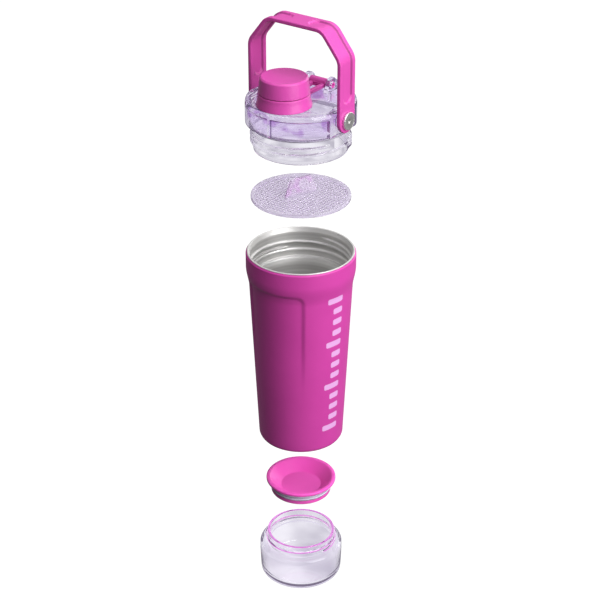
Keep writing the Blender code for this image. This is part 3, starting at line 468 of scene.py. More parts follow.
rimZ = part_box("inner_liner")[1].z
cupPlace = Vector((0, 0, rimZ))
gridPlace = Vector((0, 0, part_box("mixing_grid")[0].z))
lidSkirt = 23.3
lidPlace = Vector((0, 0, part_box("lid_body")[0].z + lidSkirt * mm))
stopperPlace = Vector((0, 0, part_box("jar_stopper")[1].z))
jarPlace = Vector((0, 0, 0))
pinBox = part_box("hinge_pin")
hingePlace = (pinBox[0] + pinBox[1]) / 2
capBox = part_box("spout_cap")
spoutY = (capBox[0].y + capBox[1].y) / 2
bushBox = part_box("pivot_bush_right")
pivotPlace = Vector((0, 0, (bushBox[0].z + bushBox[1].z) / 2))
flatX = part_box("screw_insert_right")[1].x / mm + fitGap  # where the drum's flats are cut for the handle


cup = {
    "height": 183, "rim": 46.5, "base": 37.5, "bulge": 1.0, "bulgeFade": 1.5, "collarEnd": 14, "stepEnd": 33,
    "stepIn": 1.7, "wall": 0.7, "lip": 0.6, "tuck": 1.2, "fillet": 3.0, "topGap": 0.3, "steps": 288,
}
panel = {
    "depth": 1.35, "top": 21.0, "edge": 4.6, "fadeFrom": 58, "fadeTo": 130, "halfAngle": 38, "side": 7.0,
    "corner": 9.0,
}


def shellRadius(depth):
    # The shell's radius at a depth under the rim: a collar, a soft step and a straight taper.
    stepRadius = cup["rim"] - cup["stepIn"]
    collar = cup["rim"] + cup["bulge"]
    if depth <= cup["collarEnd"]:
        return cup["rim"] + cup["bulge"] * ease((depth - cup["lip"]) / (cup["bulgeFade"] * cup["bulge"]))
    down = (max(depth, cup["stepEnd"]) - cup["stepEnd"]) / (cup["height"] - cup["stepEnd"])
    taper = stepRadius + down * (cup["base"] - stepRadius)
    share = ease((depth - cup["collarEnd"]) / (cup["stepEnd"] - cup["collarEnd"]))
    radius = collar + share * (taper - collar)
    aboveBase = cup["height"] - depth
    if aboveBase < cup["fillet"]:
        radius -= cup["tuck"] * (1 - aboveBase / cup["fillet"]) ** 2
    return radius


def panelPress(angle, depth):
    # The grip panels on the front and back, pressed in with rounded upper corners.
    around = (angle + math.pi) % fullTurn - math.pi
    fromMiddle = abs(abs(around) - math.pi / 2)
    across = (math.radians(panel["halfAngle"] + panel["side"] / 2) - fromMiddle) * cup["rim"]
    down = depth - panel["top"]
    corner = panel["corner"]
    if across < corner and down < corner:
        inside = corner - math.hypot(corner - across, corner - down)
    else:
        inside = min(across, down)
    fade = 1 - ease((depth - panel["fadeFrom"]) / (panel["fadeTo"] - panel["fadeFrom"]))
    return panel["depth"] * ease(inside / panel["edge"]) * fade


def makeShell():
    def pressed(angle, radius, height):
        return radius - panelPress(angle, -height)

    # The first depth, gap and count of each group of rows: they are closer together where the wall curves.
    groups = [(cup["lip"] + cup["topGap"], 0.35, 12), (5, 1, 15), (20, 0.5, 30), (35, 4, 36)]
    groups.append((cup["height"] - cup["fillet"], 0.25, 13))
    depths = [first + gap * step for first, gap, count in groups for step in range(count)]
    outer = [(shellRadius(depth), -depth) for depth in depths]
    inner = [(radius - cup["wall"], height) for radius, height in [*outer[::-3], outer[0]]]
    shell = turned("cupShell", outer + inner, cup["steps"], cupPlace, shift=pressed)
    dress(shell, "cup", "outer_shell", mattFinish("satinCoat", coatLook))


makeShell()

bars = {
    "count": 13, "first": 31, "pitch": 10.8, "thick": 5.6, "long": 16.5, "short": 10.5, "longEvery": 4,
    "middle": -12.5, "lift": 0.035, "round": 1.3, "rows": 8, "columns": 24,
}
inkLook = {
    **mattLook, "deep": (0.779, 0.399, 0.76), "bright": (0.82, 0.42, 0.80), "roughness": 0.45, "swing": 0.1,
    "grain": 1800.0, "detail": 2.0, "bump": 0.1,
}


def makeBars():
    # A plain scale of printed bars, which follow the shell and its panels.
    shape = bmesh.new()
    halfThick = bars["thick"] / 2
    for number in range(bars["count"]):
        depth = bars["first"] + bars["pitch"] * number
        width = bars["short"] if number % bars["longEvery"] else bars["long"]
        right = math.radians(bars["middle"]) + bars["long"] / 2 / shellRadius(depth)
        lines = []
        for row in range(bars["rows"] + 1):
            down = bars["thick"] * row / bars["rows"] - halfThick
            at = depth + down
            pinch = max(0.0, abs(down) - (halfThick - bars["round"]))
            cutBack = bars["round"] - math.sqrt(max(bars["round"] ** 2 - pinch ** 2, 0.0))
            line = []
            for column in range(bars["columns"] + 1):
                along = cutBack + (width - 2 * cutBack) * column / bars["columns"]
                angle = right - along / shellRadius(depth)
                reach = (shellRadius(at) - panelPress(angle, at) + bars["lift"]) * mm
                spot = (reach * math.cos(angle), reach * math.sin(angle), rimZ - at * mm)
                line.append(shape.verts.new(spot))
            lines.append(line)
        weave(shape, lines)
    shape.normal_update()
    outward = sum(face.normal.dot(face.calc_center_median() * Vector((1, 1, 0))) for face in shape.faces)
    if outward < 0:
        bmesh.ops.reverse_faces(shape, faces=shape.faces)
    piece = looseObject("printedScale", shape)
    dress(piece, "cup", None, mattFinish("scaleInk", inkLook))


makeBars()

liner = {
    "lipRadius": 44.8, "bore": 44.2, "lipDepth": 3.4, "seatRise": 7.5, "seatSlope": 1.5, "ledge": 27.0,
    "ledgeIn": 2.8, "seat": 43.0, "floorRise": 21.6, "floorIn": 3.4, "floorFillet": 4.5, "wall": 0.5,
    "roughness": 0.55, "steps": 240,
}
cupThread = {
    "top": -9.0, "pitch": 5.2, "turns": 1.9, "width": 3.0, "flank": 1.05, "height": 1.45, "fade": 0.16,
    "from": 103,
}


def makeLiner():
    floor = liner["floorRise"] - cup["height"]
    floorRadius = cup["base"] - liner["floorIn"]
    chamber = liner["seat"] - liner["ledgeIn"]
    bore, seat, lip, wall = liner["bore"], liner["seat"], liner["lipRadius"], liner["wall"]
    ledge = -liner["ledge"]
    boreEnd = ledge + liner["seatRise"]
    rim = cup["rim"] - 0.1
    inside = [
        (0, floor), (floorRadius, floor, liner["floorFillet"] * 1.5), (chamber - 0.9, ledge - 5.5, 2.0),
        (chamber, ledge - 1.0, 0.8), (chamber + 0.9, ledge, 0.6), (seat, ledge, 0.5),
        (seat, boreEnd - liner["seatSlope"], 1.0), (bore, boreEnd, 0.8),
    ]
    outside = [
        (bore, -liner["lipDepth"], 0.8), (lip, -0.9, 0.6), (lip + 0.15, 0, 0.3), (rim, 0, 0.35),
        (rim, -cup["lip"]), (lip + wall, -cup["lip"]), (bore + wall, -liner["lipDepth"]),
        (bore + wall, boreEnd - 0.4), (seat + wall, boreEnd - liner["seatSlope"] - 0.4),
        (seat + wall, ledge - wall), (chamber + wall, ledge - 1.0),
        (floorRadius + wall, floor + liner["floorFillet"]), (floorRadius - 4.0, floor - wall),
        (0, floor - wall),
    ]
    bare = wallPoints(bore, boreEnd + 0.3, -liner["lipDepth"] - 0.8)
    thread = threaded(cupThread, bore, low=boreEnd, outward=-1)
    outline = roundOff(inside) + bare + roundOff(outside)
    piece = turned("cupLiner", outline, liner["steps"], cupPlace, shift=thread)
    finish = steelFinish("brushedLiner", cupPlace, 2, liner["roughness"])
    dress(piece, "cup", "inner_liner", finish)


makeLiner()
print("cup done")


lattice = {
    "radius": 42.4, "thick": 3.4, "rim": 3.0, "pitch": 3.3, "hole": 2.25, "edge": 0.5, "webLow": 1.3,
    "rimClear": 0.7, "finClear": 0.75, "cutDepth": 1.3,
    "webTop": 2.3, "flareTop": 1.12, "flareLow": 0.9, "finBase": 33, "finTop": 20, "finHeight": 15,
    "finThick": 2.2, "finAngle": 68, "steps": 144,
}


def makeGrid():
    radius, thick, edge, hole = lattice["radius"], lattice["thick"], lattice["edge"], lattice["hole"]
    webLow, webTop = lattice["webLow"], lattice["webTop"]
    inner = radius - lattice["rim"]
    disc = [
        (0, webTop), (inner, webTop, edge), (inner, thick, edge), (radius, thick, edge * 2),
        (radius, 0, edge * 2), (inner, 0, edge), (inner, webLow, edge), (0, webLow),
    ]
    grid = turned("mixingLattice", roundOff(disc), lattice["steps"], gridPlace)
    finAngle = math.radians(lattice["finAngle"])
    direction = Vector((math.cos(finAngle), math.sin(finAngle)))
    halfThick, halfBase = lattice["finThick"] / 2, lattice["finBase"] / 2
    holes = bmesh.new()
    reach = inner - hole * lattice["rimClear"]
    clear = hole * lattice["finClear"]
    count = math.ceil(reach / lattice["pitch"])
    for row in range(-count, count + 1):
        for column in range(-count, count + 1):
            spot = Vector((column, row)) * lattice["pitch"]
            besideFin = abs(spot.cross(direction)) > halfThick + clear
            pastFin = abs(spot.dot(direction)) > halfBase + clear
            if spot.length > reach or not (besideFin or pastFin):
                continue
            for vert in bmesh.ops.create_cube(holes, size=1)["verts"]:
                flare = lattice["flareTop"] if vert.co.z > 0 else lattice["flareLow"]
                vert.co = Vector((
                    (spot.x + vert.co.x * hole * flare) * mm, (spot.y + vert.co.y * hole * flare) * mm,
                    gridPlace.z + thick * (0.5 + lattice["cutDepth"] * vert.co.z) * mm,
                ))
    finLow = (-halfBase, -halfThick, webLow + edge)
    fin = blockShape(finLow, (halfBase, halfThick, thick + lattice["finHeight"]), (0, 0, 0), edge)
    for vert in fin.verts:
        upward = (vert.co.z / mm - thick / 2) / (thick / 2 + lattice["finHeight"])
        vert.co.x *= 1 - upward * (1 - lattice["finTop"] / lattice["finBase"])
    bmesh.ops.rotate(fin, verts=fin.verts, matrix=Matrix.Rotation(finAngle, 3, "Z"))
    bmesh.ops.translate(fin, verts=fin.verts, vec=gridPlace)
    carve(grid, [(looseObject("gridHoles", holes), "DIFFERENCE"), (looseObject("gridFin", fin), "UNION")])
    finish = clearFinish("latticePlastic", gridLook, gridPlace.z + (thick + 0.3) * mm)
    dress(grid, "grid", "mixing_grid", finish)


makeGrid()
print("grid done")


drum = {
    "radius": 46.1, "height": 20.4, "chamfer": 2.6, "deck": 3.0, "wall": 2.2, "innerWall": 3.2, "roof": 5.2,
    "side": 17.0, "rib": 1.3, "skirt": 40.8, "skirtWall": 2.6, "length": lidSkirt, "draft": 0.8, "steps": 216,
}
lidThread = {
    "top": -8.4, "pitch": 5.5, "turns": 1.9, "width": 2.8, "flank": 0.95, "height": 1.6, "fade": 0.2,
    "from": -20,
}
spout = {"radius": 14.5, "wall": 3.0, "height": 18.0, "steps": 96}
spoutThread = {
    "top": 14.2, "pitch": 3.6, "turns": 1.5, "width": 1.9, "flank": 0.7, "height": 0.7, "fade": 0.3,
    "from": 10,
}
ear = {
    "radius": 6.6, "thick": 4.0, "front": 9.5, "back": 11.5, "rise": 4.7, "start": 9.5, "edge": 0.6,
    "roundFrom": 1.2, "steps": 24,
}
boss = {"radius": 7.4, "depth": 8.6, "insertRadius": 4.9, "insertDepth": 4.6, "pinRadius": 2.9}


def earShape(start):
    shape = bmesh.new()
    front, back, low = -ear["front"], ear["back"], -ear["rise"]
    foot = low - drum["deck"] / 2
    angles = [math.pi * step / ear["steps"] for step in range(ear["steps"] + 1)]
    outline = [(ear["radius"] * math.cos(angle), ear["radius"] * math.sin(angle)) for angle in angles]
    outline += [(front, low), (front, foot), (back, foot), (back, low)]
    face = shape.faces.new([shape.verts.new((start, y, z)) for y, z in outline])
    grown = bmesh.ops.extrude_face_region(shape, geom=[face])
    moved = [item for item in grown["geom"] if isinstance(item, bmesh.types.BMVert)]
    bmesh.ops.translate(shape, verts=moved, vec=(ear["thick"], 0, 0))
    shape.normal_update()
    bmesh.ops.recalc_face_normals(shape, faces=shape.faces)
    sides = [edge for edge in shape.edges if abs(edge.calc_face_angle(0)) > ear["roundFrom"]]
    bmesh.ops.bevel(shape, geom=sides, offset=ear["edge"], segments=3, affect="EDGES", profile=0.5)
    bmesh.ops.scale(shape, verts=shape.verts, vec=(mm, mm, mm))
    bmesh.ops.translate(shape, verts=shape.verts, vec=hingePlace)
    return shape


def makePockets(cavity):
    # The moulded pockets under the drum, left solid at the pivots and at the ribs.
    inner, outer = cavity + drum["innerWall"], drum["radius"] - drum["wall"]
    roof = drum["height"] - drum["roof"]
    ring = [(inner, roof, 1.2), (outer, roof, 1.2), (outer, -1), (inner, -1)]
    pockets = turned("pocketRing", roundOff(ring), drum["steps"], lidPlace)
    far, tall, side, rib = drum["radius"] * 1.2, drum["height"], drum["side"], drum["rib"]
    zone = looseObject("pivotZone", blockShape((-far, -side, -tall), (far, side, tall), lidPlace))
    ribs = looseObject("ribZone", blockShape((-rib, -far, -tall), (rib, far, tall), lidPlace))
    return carve(pockets, [(zone, "DIFFERENCE"), (ribs, "DIFFERENCE")])


def spoutShape(deck):
    radius, bore, foot = spout["radius"], spout["radius"] - spout["wall"], -drum["deck"] - 1
    rim = [(bore, spout["height"], 0.8), (radius, spout["height"], 0.8)]
    ring = roundOff([*rim, (radius, 0), (bore, 0)])[:-2]
    ring += wallPoints(radius, spout["height"] - 1.4, 1.0, 0.35) + [(radius, foot), (bore, foot)]
    thread = threaded(spoutThread, radius, high=spout["height"] - 1.2)
    return revolve(ring, spout["steps"], deck, shift=thread)


def makeLid():
    skirt, cavity = drum["skirt"], drum["skirt"] - drum["skirtWall"]
    radius, height, low = drum["radius"], drum["height"], -drum["length"]
    under = height - drum["deck"]
    top = [
        (0, height), (radius - drum["chamfer"] * 0.4, height, 1.0), (radius, height - drum["chamfer"], 2.4),
        (radius, 0, 0.9), (skirt, 0, 0.5),
    ]
    wall = wallPoints(skirt, -2.2, low + 4, 0.28, skirt - 0.2)
    end = [(skirt - drum["draft"], low, 1.0), (cavity, low, 1.0), (cavity, under, 2.0), (0, under)]
    thread = threaded(lidThread, skirt - 0.1, low + 4, -2, slack=0.2)
    lid = turned("clearLid", roundOff(top) + wall + roundOff(end), drum["steps"], lidPlace, shift=thread)
    steps = []

    def carveNext(name, shape, operation):
        steps.append((looseObject(name, shape), operation))

    deck = lidPlace + Vector((0, spoutY, height * mm))
    reach, far = drum["deck"] + 2, radius * 1.2
    for side in (1, -1):
        inner, outer = side * (flatX - boss["depth"]), side * (flatX - 1)
        carveNext("boss", rod(boss["radius"], inner, outer, pivotPlace), "UNION")
    hole = rod(spout["radius"] - spout["wall"] / 2, -reach, reach, deck, spout["steps"], "Z")
    carveNext("deckHole", hole, "DIFFERENCE")
    carveNext("spoutTube", spoutShape(deck), "UNION")
    for start in (ear["start"], -ear["start"] - ear["thick"]):
        carveNext("hingeEar", earShape(start), "UNION")
    for side in (1, -1):
        near, outer = sorted((side * flatX, side * far))
        carveNext("armFlat", blockShape((near, -far, -1), (outer, far, height + 1), lidPlace), "DIFFERENCE")
    for side in (1, -1):
        start = side * (flatX - boss["insertDepth"])
        carveNext("insertHole", rod(boss["insertRadius"], start, side * far, pivotPlace), "DIFFERENCE")
    pinReach = ear["start"] + ear["thick"] + 2
    carveNext("pinHole", rod(boss["pinRadius"], -pinReach, pinReach, hingePlace, 32), "DIFFERENCE")
    steps.append((makePockets(cavity), "DIFFERENCE"))
    carve(lid, steps)
    finish = clearFinish("clearLidPlastic", clearLook, lidPlace.z + 1.0 * mm)
    dress(lid, "lid", "lid_body", finish)


makeLid()

gasket = {"inner": 41.1, "outer": 42.4, "height": 2.5, "round": 0.7, "steps": 192}
gasketLook = {
    **mattLook, "deep": (0.62, 0.58, 0.68), "bright": (0.70, 0.66, 0.76), "roughness": 0.42, "sheer": 0.5,
}


def makeGasket():
    inner, outer, reach = gasket["inner"], gasket["outer"], gasket["round"]
    top = -fitGap
    low = top - gasket["height"]
    ring = roundOff([(inner, top), (outer, top, reach), (outer, low, reach), (inner, low)])
    seal = turned("lidSeal", ring, gasket["steps"], lidPlace)
    dress(seal, "lid", "lid_gasket", mattFinish("paleSilicone", gasketLook))


makeGasket()

pin = {"radius": 2.6, "bore": 1.0, "edge": 0.45, "steps": 48}
pinkPlastic = mattFinish("satinPinkPlastic", plasticLook)


def makePin():
    half = (pinBox[1].x - pinBox[0].x) / 2 / mm
    radius, bore, edge = pin["radius"], pin["bore"], pin["edge"]
    outline = roundOff([(bore, half, edge), (radius, half, edge), (radius, -half, edge), (bore, -half, edge)])
    piece = turned("capHingePin", outline, pin["steps"], hingePlace, "X")
    dress(piece, "lid", "hinge_pin", pinkPlastic)


makePin()

screw = {
    "head": 7.4, "rise": 2.1, "shank": 3.0, "edge": 0.55, "rim": 1.0, "rimStep": 0.08, "key": 2.1,
    "keyDepth": 1.2, "length": 4.0, "strap": 3.8, "roughness": 0.3, "lines": 1800.0, "steps": 96,
}


def makeScrew(side, label):
    head, shank, inner = screw["head"], screw["shank"], screw["head"] - screw["rim"]
    seat = screw["strap"] + fitGap
    top = seat + screw["rise"]
    face = top - screw["rimStep"]
    outline = [
        (0, face), (inner - 0.1, face, 0.3), (inner, top, 0.1), (head, top, screw["edge"]), (head, seat, 0.3),
        (shank, seat), (shank, -screw["length"], 0.5), (0, -screw["length"]),
    ]
    shape = revolve(roundOff(outline), screw["steps"], (0, 0, 0), "X")
    if side < 0:
        bmesh.ops.rotate(shape, verts=shape.verts, matrix=Matrix.Rotation(math.pi, 3, "Z"))
    bmesh.ops.translate(shape, verts=shape.verts, vec=(side * flatX * mm, 0, pivotPlace.z))
    piece = looseObject("pivotScrew_" + label, shape)
    key = rod(screw["key"], side * (flatX + top - screw["keyDepth"]), side * (flatX + top + 1), pivotPlace, 6)
    carve(piece, [(looseObject("hexKey", key), "DIFFERENCE")])
    finish = steelFinish("turnedScrew_" + label, pivotPlace, 0, screw["roughness"], screw["lines"])
    dress(piece, "lid", "handle_screw_" + label, finish)


makeScrew(1, "right")
makeScrew(-1, "left")
print("lid done")


strap = {
    "halfWidth": 10.6, "thick": 3.5, "edge": 0.9, "rise": 76, "drop": 22.2, "inset": 17.6, "bend": 12,
    "bendSteps": 12, "channelHalf": 6.2, "channelDepth": 1.3, "channelEdge": 1.3, "outerStart": 20.6,
    "innerStart": 26, "stop": 14.5, "columns": 60, "row": 0.6, "endRows": 14, "pivotHole": 4.7,
    # The last two set the width and darkness of the painted shade on the channel walls.
    "paintedCreaseReach": 1.0, "paintedCreaseDark": 0.62,
}


def strapPath():
    # The strap's centre line in its own plane, from the right pivot over the top to the left one.
    armX = flatX + fitGap + strap["thick"] / 2
    top = strap["rise"] - strap["thick"] / 2
    corners = [Vector((armX, 0)), Vector((armX, top - strap["drop"])), Vector((armX - strap["inset"], top))]
    corners += [Vector((-spot.x, spot.y)) for spot in corners[::-1]]
    path = [corners[0]]
    for before, here, after in zip(corners, corners[1:], corners[2:]):
        into = (here - before).normalized()
        turn = into.angle((after - here).normalized())
        start = here - into * strap["bend"] * math.tan(turn / 2)
        inward = Vector((-into.y, into.x))
        centre = start + inward * strap["bend"]
        for step in range(strap["bendSteps"] + 1):
            angle = turn * step / strap["bendSteps"]
            path.append(centre + (into * math.sin(angle) - inward * math.cos(angle)) * strap["bend"])
    return path + [corners[-1]]


def evenStations(path, gap):
    # Points at even distances along a path, each with its distance, and the path's whole length.
    lengths = [0.0]
    for first, second in zip(path, path[1:]):
        lengths.append(lengths[-1] + (second - first).length)
    total = lengths[-1]
    count = round(total / gap)
    stations = []
    segment = 0
    for step in range(count + 1):
        along = total * step / count
        while segment < len(path) - 2 and lengths[segment + 1] < along:
            segment += 1
        share = (along - lengths[segment]) / (lengths[segment + 1] - lengths[segment])
        stations.append((along, path[segment].lerp(path[segment + 1], share)))
    return stations, total


def channelDip(along, across, total, start):
    # How deep a round-ended channel is, from its distance along the strap and its place across it.
    fromEnd = min(along, total - along)
    past = max(start - fromEnd, fromEnd - (total / 2 - strap["stop"]), 0.0)
    inside = strap["channelHalf"] - math.hypot(past, across)
    return strap["channelDepth"] * ease(inside / strap["channelEdge"])


def strapRows():
    # Rows across the strap, each with its distance, its place and the way outward, with half-round ends.
    stations, total = evenStations(strapPath(), strap["row"])
    ends = strap["endRows"]
    drops = [strap["halfWidth"] * math.sin(math.pi / 2 * (1 - step / ends)) for step in range(1, ends)]
    rows = [(-drop, Vector((stations[0][1].x, -drop)), Vector((1, 0))) for drop in drops]
    for index, (along, spot) in enumerate(stations):
        before = stations[max(index - 1, 0)][1]
        after = stations[min(index + 1, len(stations) - 1)][1]
        onward = (after - before).normalized()
        rows.append((along, spot, Vector((onward.y, -onward.x))))
    rows += [(total + drop, Vector((stations[-1][1].x, -drop)), Vector((-1, 0))) for drop in drops[::-1]]
    return rows, total


def paintedCreaseShade(finish, spot, colour):
    # Painted shade: two darker lines along the strap, on the walls of its channels, where their shading
    # falls.
    side, across, height = finish.axes(spot)
    middle = (strap["channelHalf"] - strap["channelEdge"] / 2) * mm
    off = ((across * across).root() - middle) / (strap["paintedCreaseReach"] * mm)
    above = height > pivotPlace.z + strap["outerStart"] * mm
    shade = (1.0 - off * off).clamp() * above * (side * side > (strap["stop"] * mm) ** 2)
    return finish.mixColours(shade, colour, toned(plasticLook["deep"], strap["paintedCreaseDark"]))


def makeHandle():
    rows, total = strapRows()
    half, edge, columns = strap["halfWidth"], strap["edge"], strap["columns"]
    shape = bmesh.new()
    outer, inner = [], []
    for along, spot, outward in rows:
        past = max(-along, along - total, 0.0)
        reach = math.sqrt(max(half ** 2 - past ** 2, 0.01))
        for lines, face, start in ((outer, 1, strap["outerStart"]), (inner, -1, strap["innerStart"])):
            line = []
            for column in range(columns + 1):
                across = reach * math.sin(math.pi / 2 * (2 * column / columns - 1))
                inside = min(half - math.hypot(past, across), edge)
                rounding = edge - math.sqrt(max(edge ** 2 - (edge - inside) ** 2, 0.0))
                dip = channelDip(along, across, total, start)
                flat = spot + outward * face * (strap["thick"] / 2 - rounding - dip)
                line.append(shape.verts.new((flat.x * mm, across * mm, pivotPlace.z + flat.y * mm)))
            lines.append(line)
    weave(shape, outer)
    weave(shape, inner)
    for column in (0, columns):
        weave(shape, [[line[column] for line in outer], [line[column] for line in inner]])
    for row in (0, -1):
        weave(shape, [outer[row], inner[row]])
    shape.normal_update()
    bmesh.ops.recalc_face_normals(shape, faces=shape.faces)
    handle = looseObject("carryHandle", shape)
    reach = flatX + 12
    hole = rod(strap["pivotHole"], -reach, reach, pivotPlace)
    carve(handle, [(looseObject("pivotHole", hole), "DIFFERENCE")])
    # The strap's plastic, with painted shade on the walls of its channels.
    finish = mattFinish("strapPlastic", plasticLook, paintedCreaseShade)
    dress(handle, "handle", "handle", finish)


makeHandle()
print("handle done")


cap = {
    "height": 13.9, "top": 19.8, "chamfer": 1.3, "seam": 21.1, "skirt": 18.3, "bore": 16.9, "drop": 9.9,
    "collar": 10.5, "flare": 1.8, "lip": 18.6, "collarBore": 19.5, "dish": 0.25, "steps": 160,
}
tether = {
    "half": 7.4, "thick": 3.4, "drop": 0.6, "windowHalf": 4.0, "windowEnd": 4.5, "barrel": 4.1,
    "barrelHalf": 9.2, "bore": 2.9, "edge": 0.7, "steps": 64,
}
seamPlace = Vector((0, spoutY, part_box("spout_cap")[1].z - cap["height"] * mm))


def makeCap():
    height, seam, low = cap["height"], cap["seam"], -cap["drop"]
    topEdge, dished = cap["top"] - cap["chamfer"], height - cap["dish"]
    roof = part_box("spout_cap_gasket")[1].z / mm - seamPlace.z / mm + fitGap
    outline = roundOff([
        (0, dished), (topEdge - 2.5, dished, 3.0), (topEdge, height, 0.35),
        (cap["top"], height - cap["chamfer"], 0.5), (seam - 0.1, 0.6), (seam - 0.6, 0.1, 0.4),
        (cap["skirt"], 0), (cap["skirt"], low, 0.4), (cap["bore"], low, 0.4), (cap["bore"], roof, 0.4),
        (0, roof),
    ])
    piece = turned("spoutCap", outline, cap["steps"], seamPlace)
    dress(piece, "cap", "spout_cap", pinkPlastic)


def makeTether():
    seam, bore, lip, outer = cap["seam"], cap["collarBore"], cap["lip"], cap["seam"] + cap["flare"]
    top = -fitGap
    low = top - cap["collar"]
    ring = roundOff([
        (seam - 0.5, top, 0.3), (seam + 0.1, top - 0.7, 0.4), (seam + 0.35, -4.0, 3.0),
        (outer, low + 0.8, 1.0), (outer, low, 0.4), (bore, low, 0.4), (bore, -2.3), (lip, -2.0),
        (lip, top),
    ])
    collar = turned("capTether", ring, cap["steps"], seamPlace)
    half, barrel, barrelHalf = tether["half"], tether["barrel"], tether["barrelHalf"]
    fromHinge = (spoutY - hingePlace.y) / mm
    low = -tether["thick"] / 2 - tether["drop"]
    arm = blockShape(
        (-half, fromHinge + bore + 1, low), (half, 0, low + tether["thick"]), hingePlace, tether["edge"]
    )
    tube = [(0, barrelHalf), (barrel, barrelHalf, 0.5), (barrel, -barrelHalf, 0.5), (0, -barrelHalf)]
    window = blockShape(
        (-tether["windowHalf"], fromHinge + outer + 0.8, -10),
        (tether["windowHalf"], -tether["windowEnd"], 10), hingePlace,
    )
    hole = rod(tether["bore"], -barrelHalf - 1, barrelHalf + 1, hingePlace, 32)
    carve(collar, [
        (looseObject("tetherArm", arm), "UNION"),
        (turned("tetherBarrel", roundOff(tube), tether["steps"], hingePlace, "X"), "UNION"),
        (looseObject("tetherWindow", window), "DIFFERENCE"), (looseObject("tetherBore", hole), "DIFFERENCE"),
    ])
    dress(collar, "tether", "cap_tether", pinkPlastic)


makeCap()
makeTether()
print("cap done")


dish = {
    "flange": 31.8, "flangeThick": 2.8, "flangeWidth": 3.9, "depth": 9.0, "width": 10.0, "floor": 1.8,
    "height": 14.0, "plug": 27.4, "groove": 26.0, "sealTop": 4.1, "sealBottom": 10.0, "rib": 0.9,
    "grooveShade": 0.6, "steps": 176, "bandSteps": 160,
}
# Painted light: the stopper is the same pink plastic, made 1.55 times brighter to stand in for more light on
# it.
dishLookPaintedBright = {
    **plasticLook, "deep": toned(plasticLook["deep"], 1.55), "bright": toned(plasticLook["bright"], 1.55),
}
bandLook = {
    **mattLook, "deep": (0.82, 0.78, 0.94), "bright": (0.87, 0.84, 0.98), "roughness": 0.38, "grain": 700.0,
}


def makeStopper():
    flange, plug, groove = dish["flange"], dish["plug"], dish["groove"]
    inner = flange - dish["flangeWidth"]
    floor, under, low = -dish["depth"], -dish["flangeThick"], -dish["height"]
    sealTop, sealBottom = fitGap - dish["sealTop"], -dish["sealBottom"] - fitGap
    outline = roundOff([
        (0, floor), (inner - dish["width"] + 0.4, floor, 0.9), (inner - 1.8, floor * 0.24, 2.4),
        (inner, -0.5, 1.2), (inner + 1.0, 0, 0.8), (flange, 0, 1.1), (flange, under, 1.1),
        (plug, under, 0.4), (plug, sealTop), (groove - 0.9, sealTop), (groove - 0.9, sealBottom),
        (plug, sealBottom), (plug, low, 1.3), (groove - 2.4, low, 0.5),
        (groove - 4.4, floor - dish["floor"]), (0, floor - dish["floor"]),
    ])
    piece = turned("stopperDish", outline, dish["steps"], stopperPlace)
    # The stopper's plastic is a brightened, painted-light copy of the pink plastic.
    dress(piece, "stopper", "jar_stopper", mattFinish("dishPlasticPaintedBright", dishLookPaintedBright))


def paintedGrooveShade(finish, spot, colour):
    # Painted shade: darker in the grooves between the ribs.
    x, y, _ = finish.axes(spot)
    onRib = (awayFrom(x, y) / mm).ramp(dish["plug"], dish["rib"])
    return finish.mixColours(onRib, toned(bandLook["deep"], dish["grooveShade"]), colour)


def makeBand():
    inner, body, crest = dish["groove"] - 0.6, dish["plug"], dish["plug"] + dish["rib"]
    top, low = -dish["sealTop"], -dish["sealBottom"]
    rib = (top - low) / 5
    # Two ribs: each point's radius, its depth in rib widths and its rounding.
    profile = [
        (body, 0.9, 0.3), (crest, 1.4, 0.5), (crest, 1.6, 0.5), (body, 2.1, 0.3),
        (body, 2.9, 0.3), (crest, 3.4, 0.5), (crest, 3.6, 0.5), (body, 4.1, 0.3),
    ]
    ribs = [(radius, top - depth * rib, reach) for radius, depth, reach in profile]
    outline = roundOff([(inner, top), (body, top, 0.3), *ribs, (body, low, 0.3), (inner, low)])
    piece = turned("stopperBand", outline, dish["bandSteps"], stopperPlace)
    # The band's silicone, with painted shade in its grooves.
    finish = mattFinish("ribbedSilicone", bandLook, paintedGrooveShade)
    dress(piece, "stopper", "stopper_seal", finish)


makeStopper()
makeBand()
print("stopper done")


jar = {
    "height": 44.2, "shoulder": 33.1, "body": 38.3, "foot": 37.2, "wall": 2.8, "floor": 4.2, "fillet": 4.0,
    "neck": 31.1, "bore": 28.7, "bend": 3.0, "straight": 9.0, "steps": 192,
}
jarThread = {
    "top": 40.2, "pitch": 4.4, "turns": 1.25, "width": 2.6, "flank": 0.9, "height": 1.3, "fade": 0.2,
    "from": 70,
}


def makeJar():
    height, shoulder, body, foot = jar["height"], jar["shoulder"], jar["body"], jar["foot"]
    floor, neck, bore, wall = jar["floor"], jar["neck"], jar["bore"], jar["wall"]
    fillet, bend = jar["fillet"], jar["bend"]
    under, straight = shoulder - wall, shoulder - jar["straight"]
    # The last one or two points of each list only give a corner its direction.
    top = [(bore, height, 0.9), (neck, height, 0.9), (neck, height - 1.3), (neck, 30), (bore, 30)]
    bare = wallPoints(neck, height - 1.5, shoulder + 1.2, 0.28)
    rest = roundOff([
        (neck, shoulder, 1.0), (body, shoulder, bend * 1.3), (body - 0.1, straight),
        (foot, 0, fillet * 1.5), (0, 0), (0, floor), (foot - wall, floor, fillet * 1.3),
        (body - wall, straight), (body - wall, under, bend * 1.2), (bore, under, 1.6), (bore, 40),
    ])[:-1]
    outline = roundOff(top)[:-2] + bare + rest + [(bore, shoulder + 1), (bore, height - 2)]
    thread = threaded(jarThread, neck, shoulder + 1.2, height - 1.2)
    piece = turned("powderJar", outline, jar["steps"], jarPlace, shift=thread)
    dress(piece, "jar", "jar", clearFinish("clearJarPlastic", jarLook))


makeJar()
print("jar done")


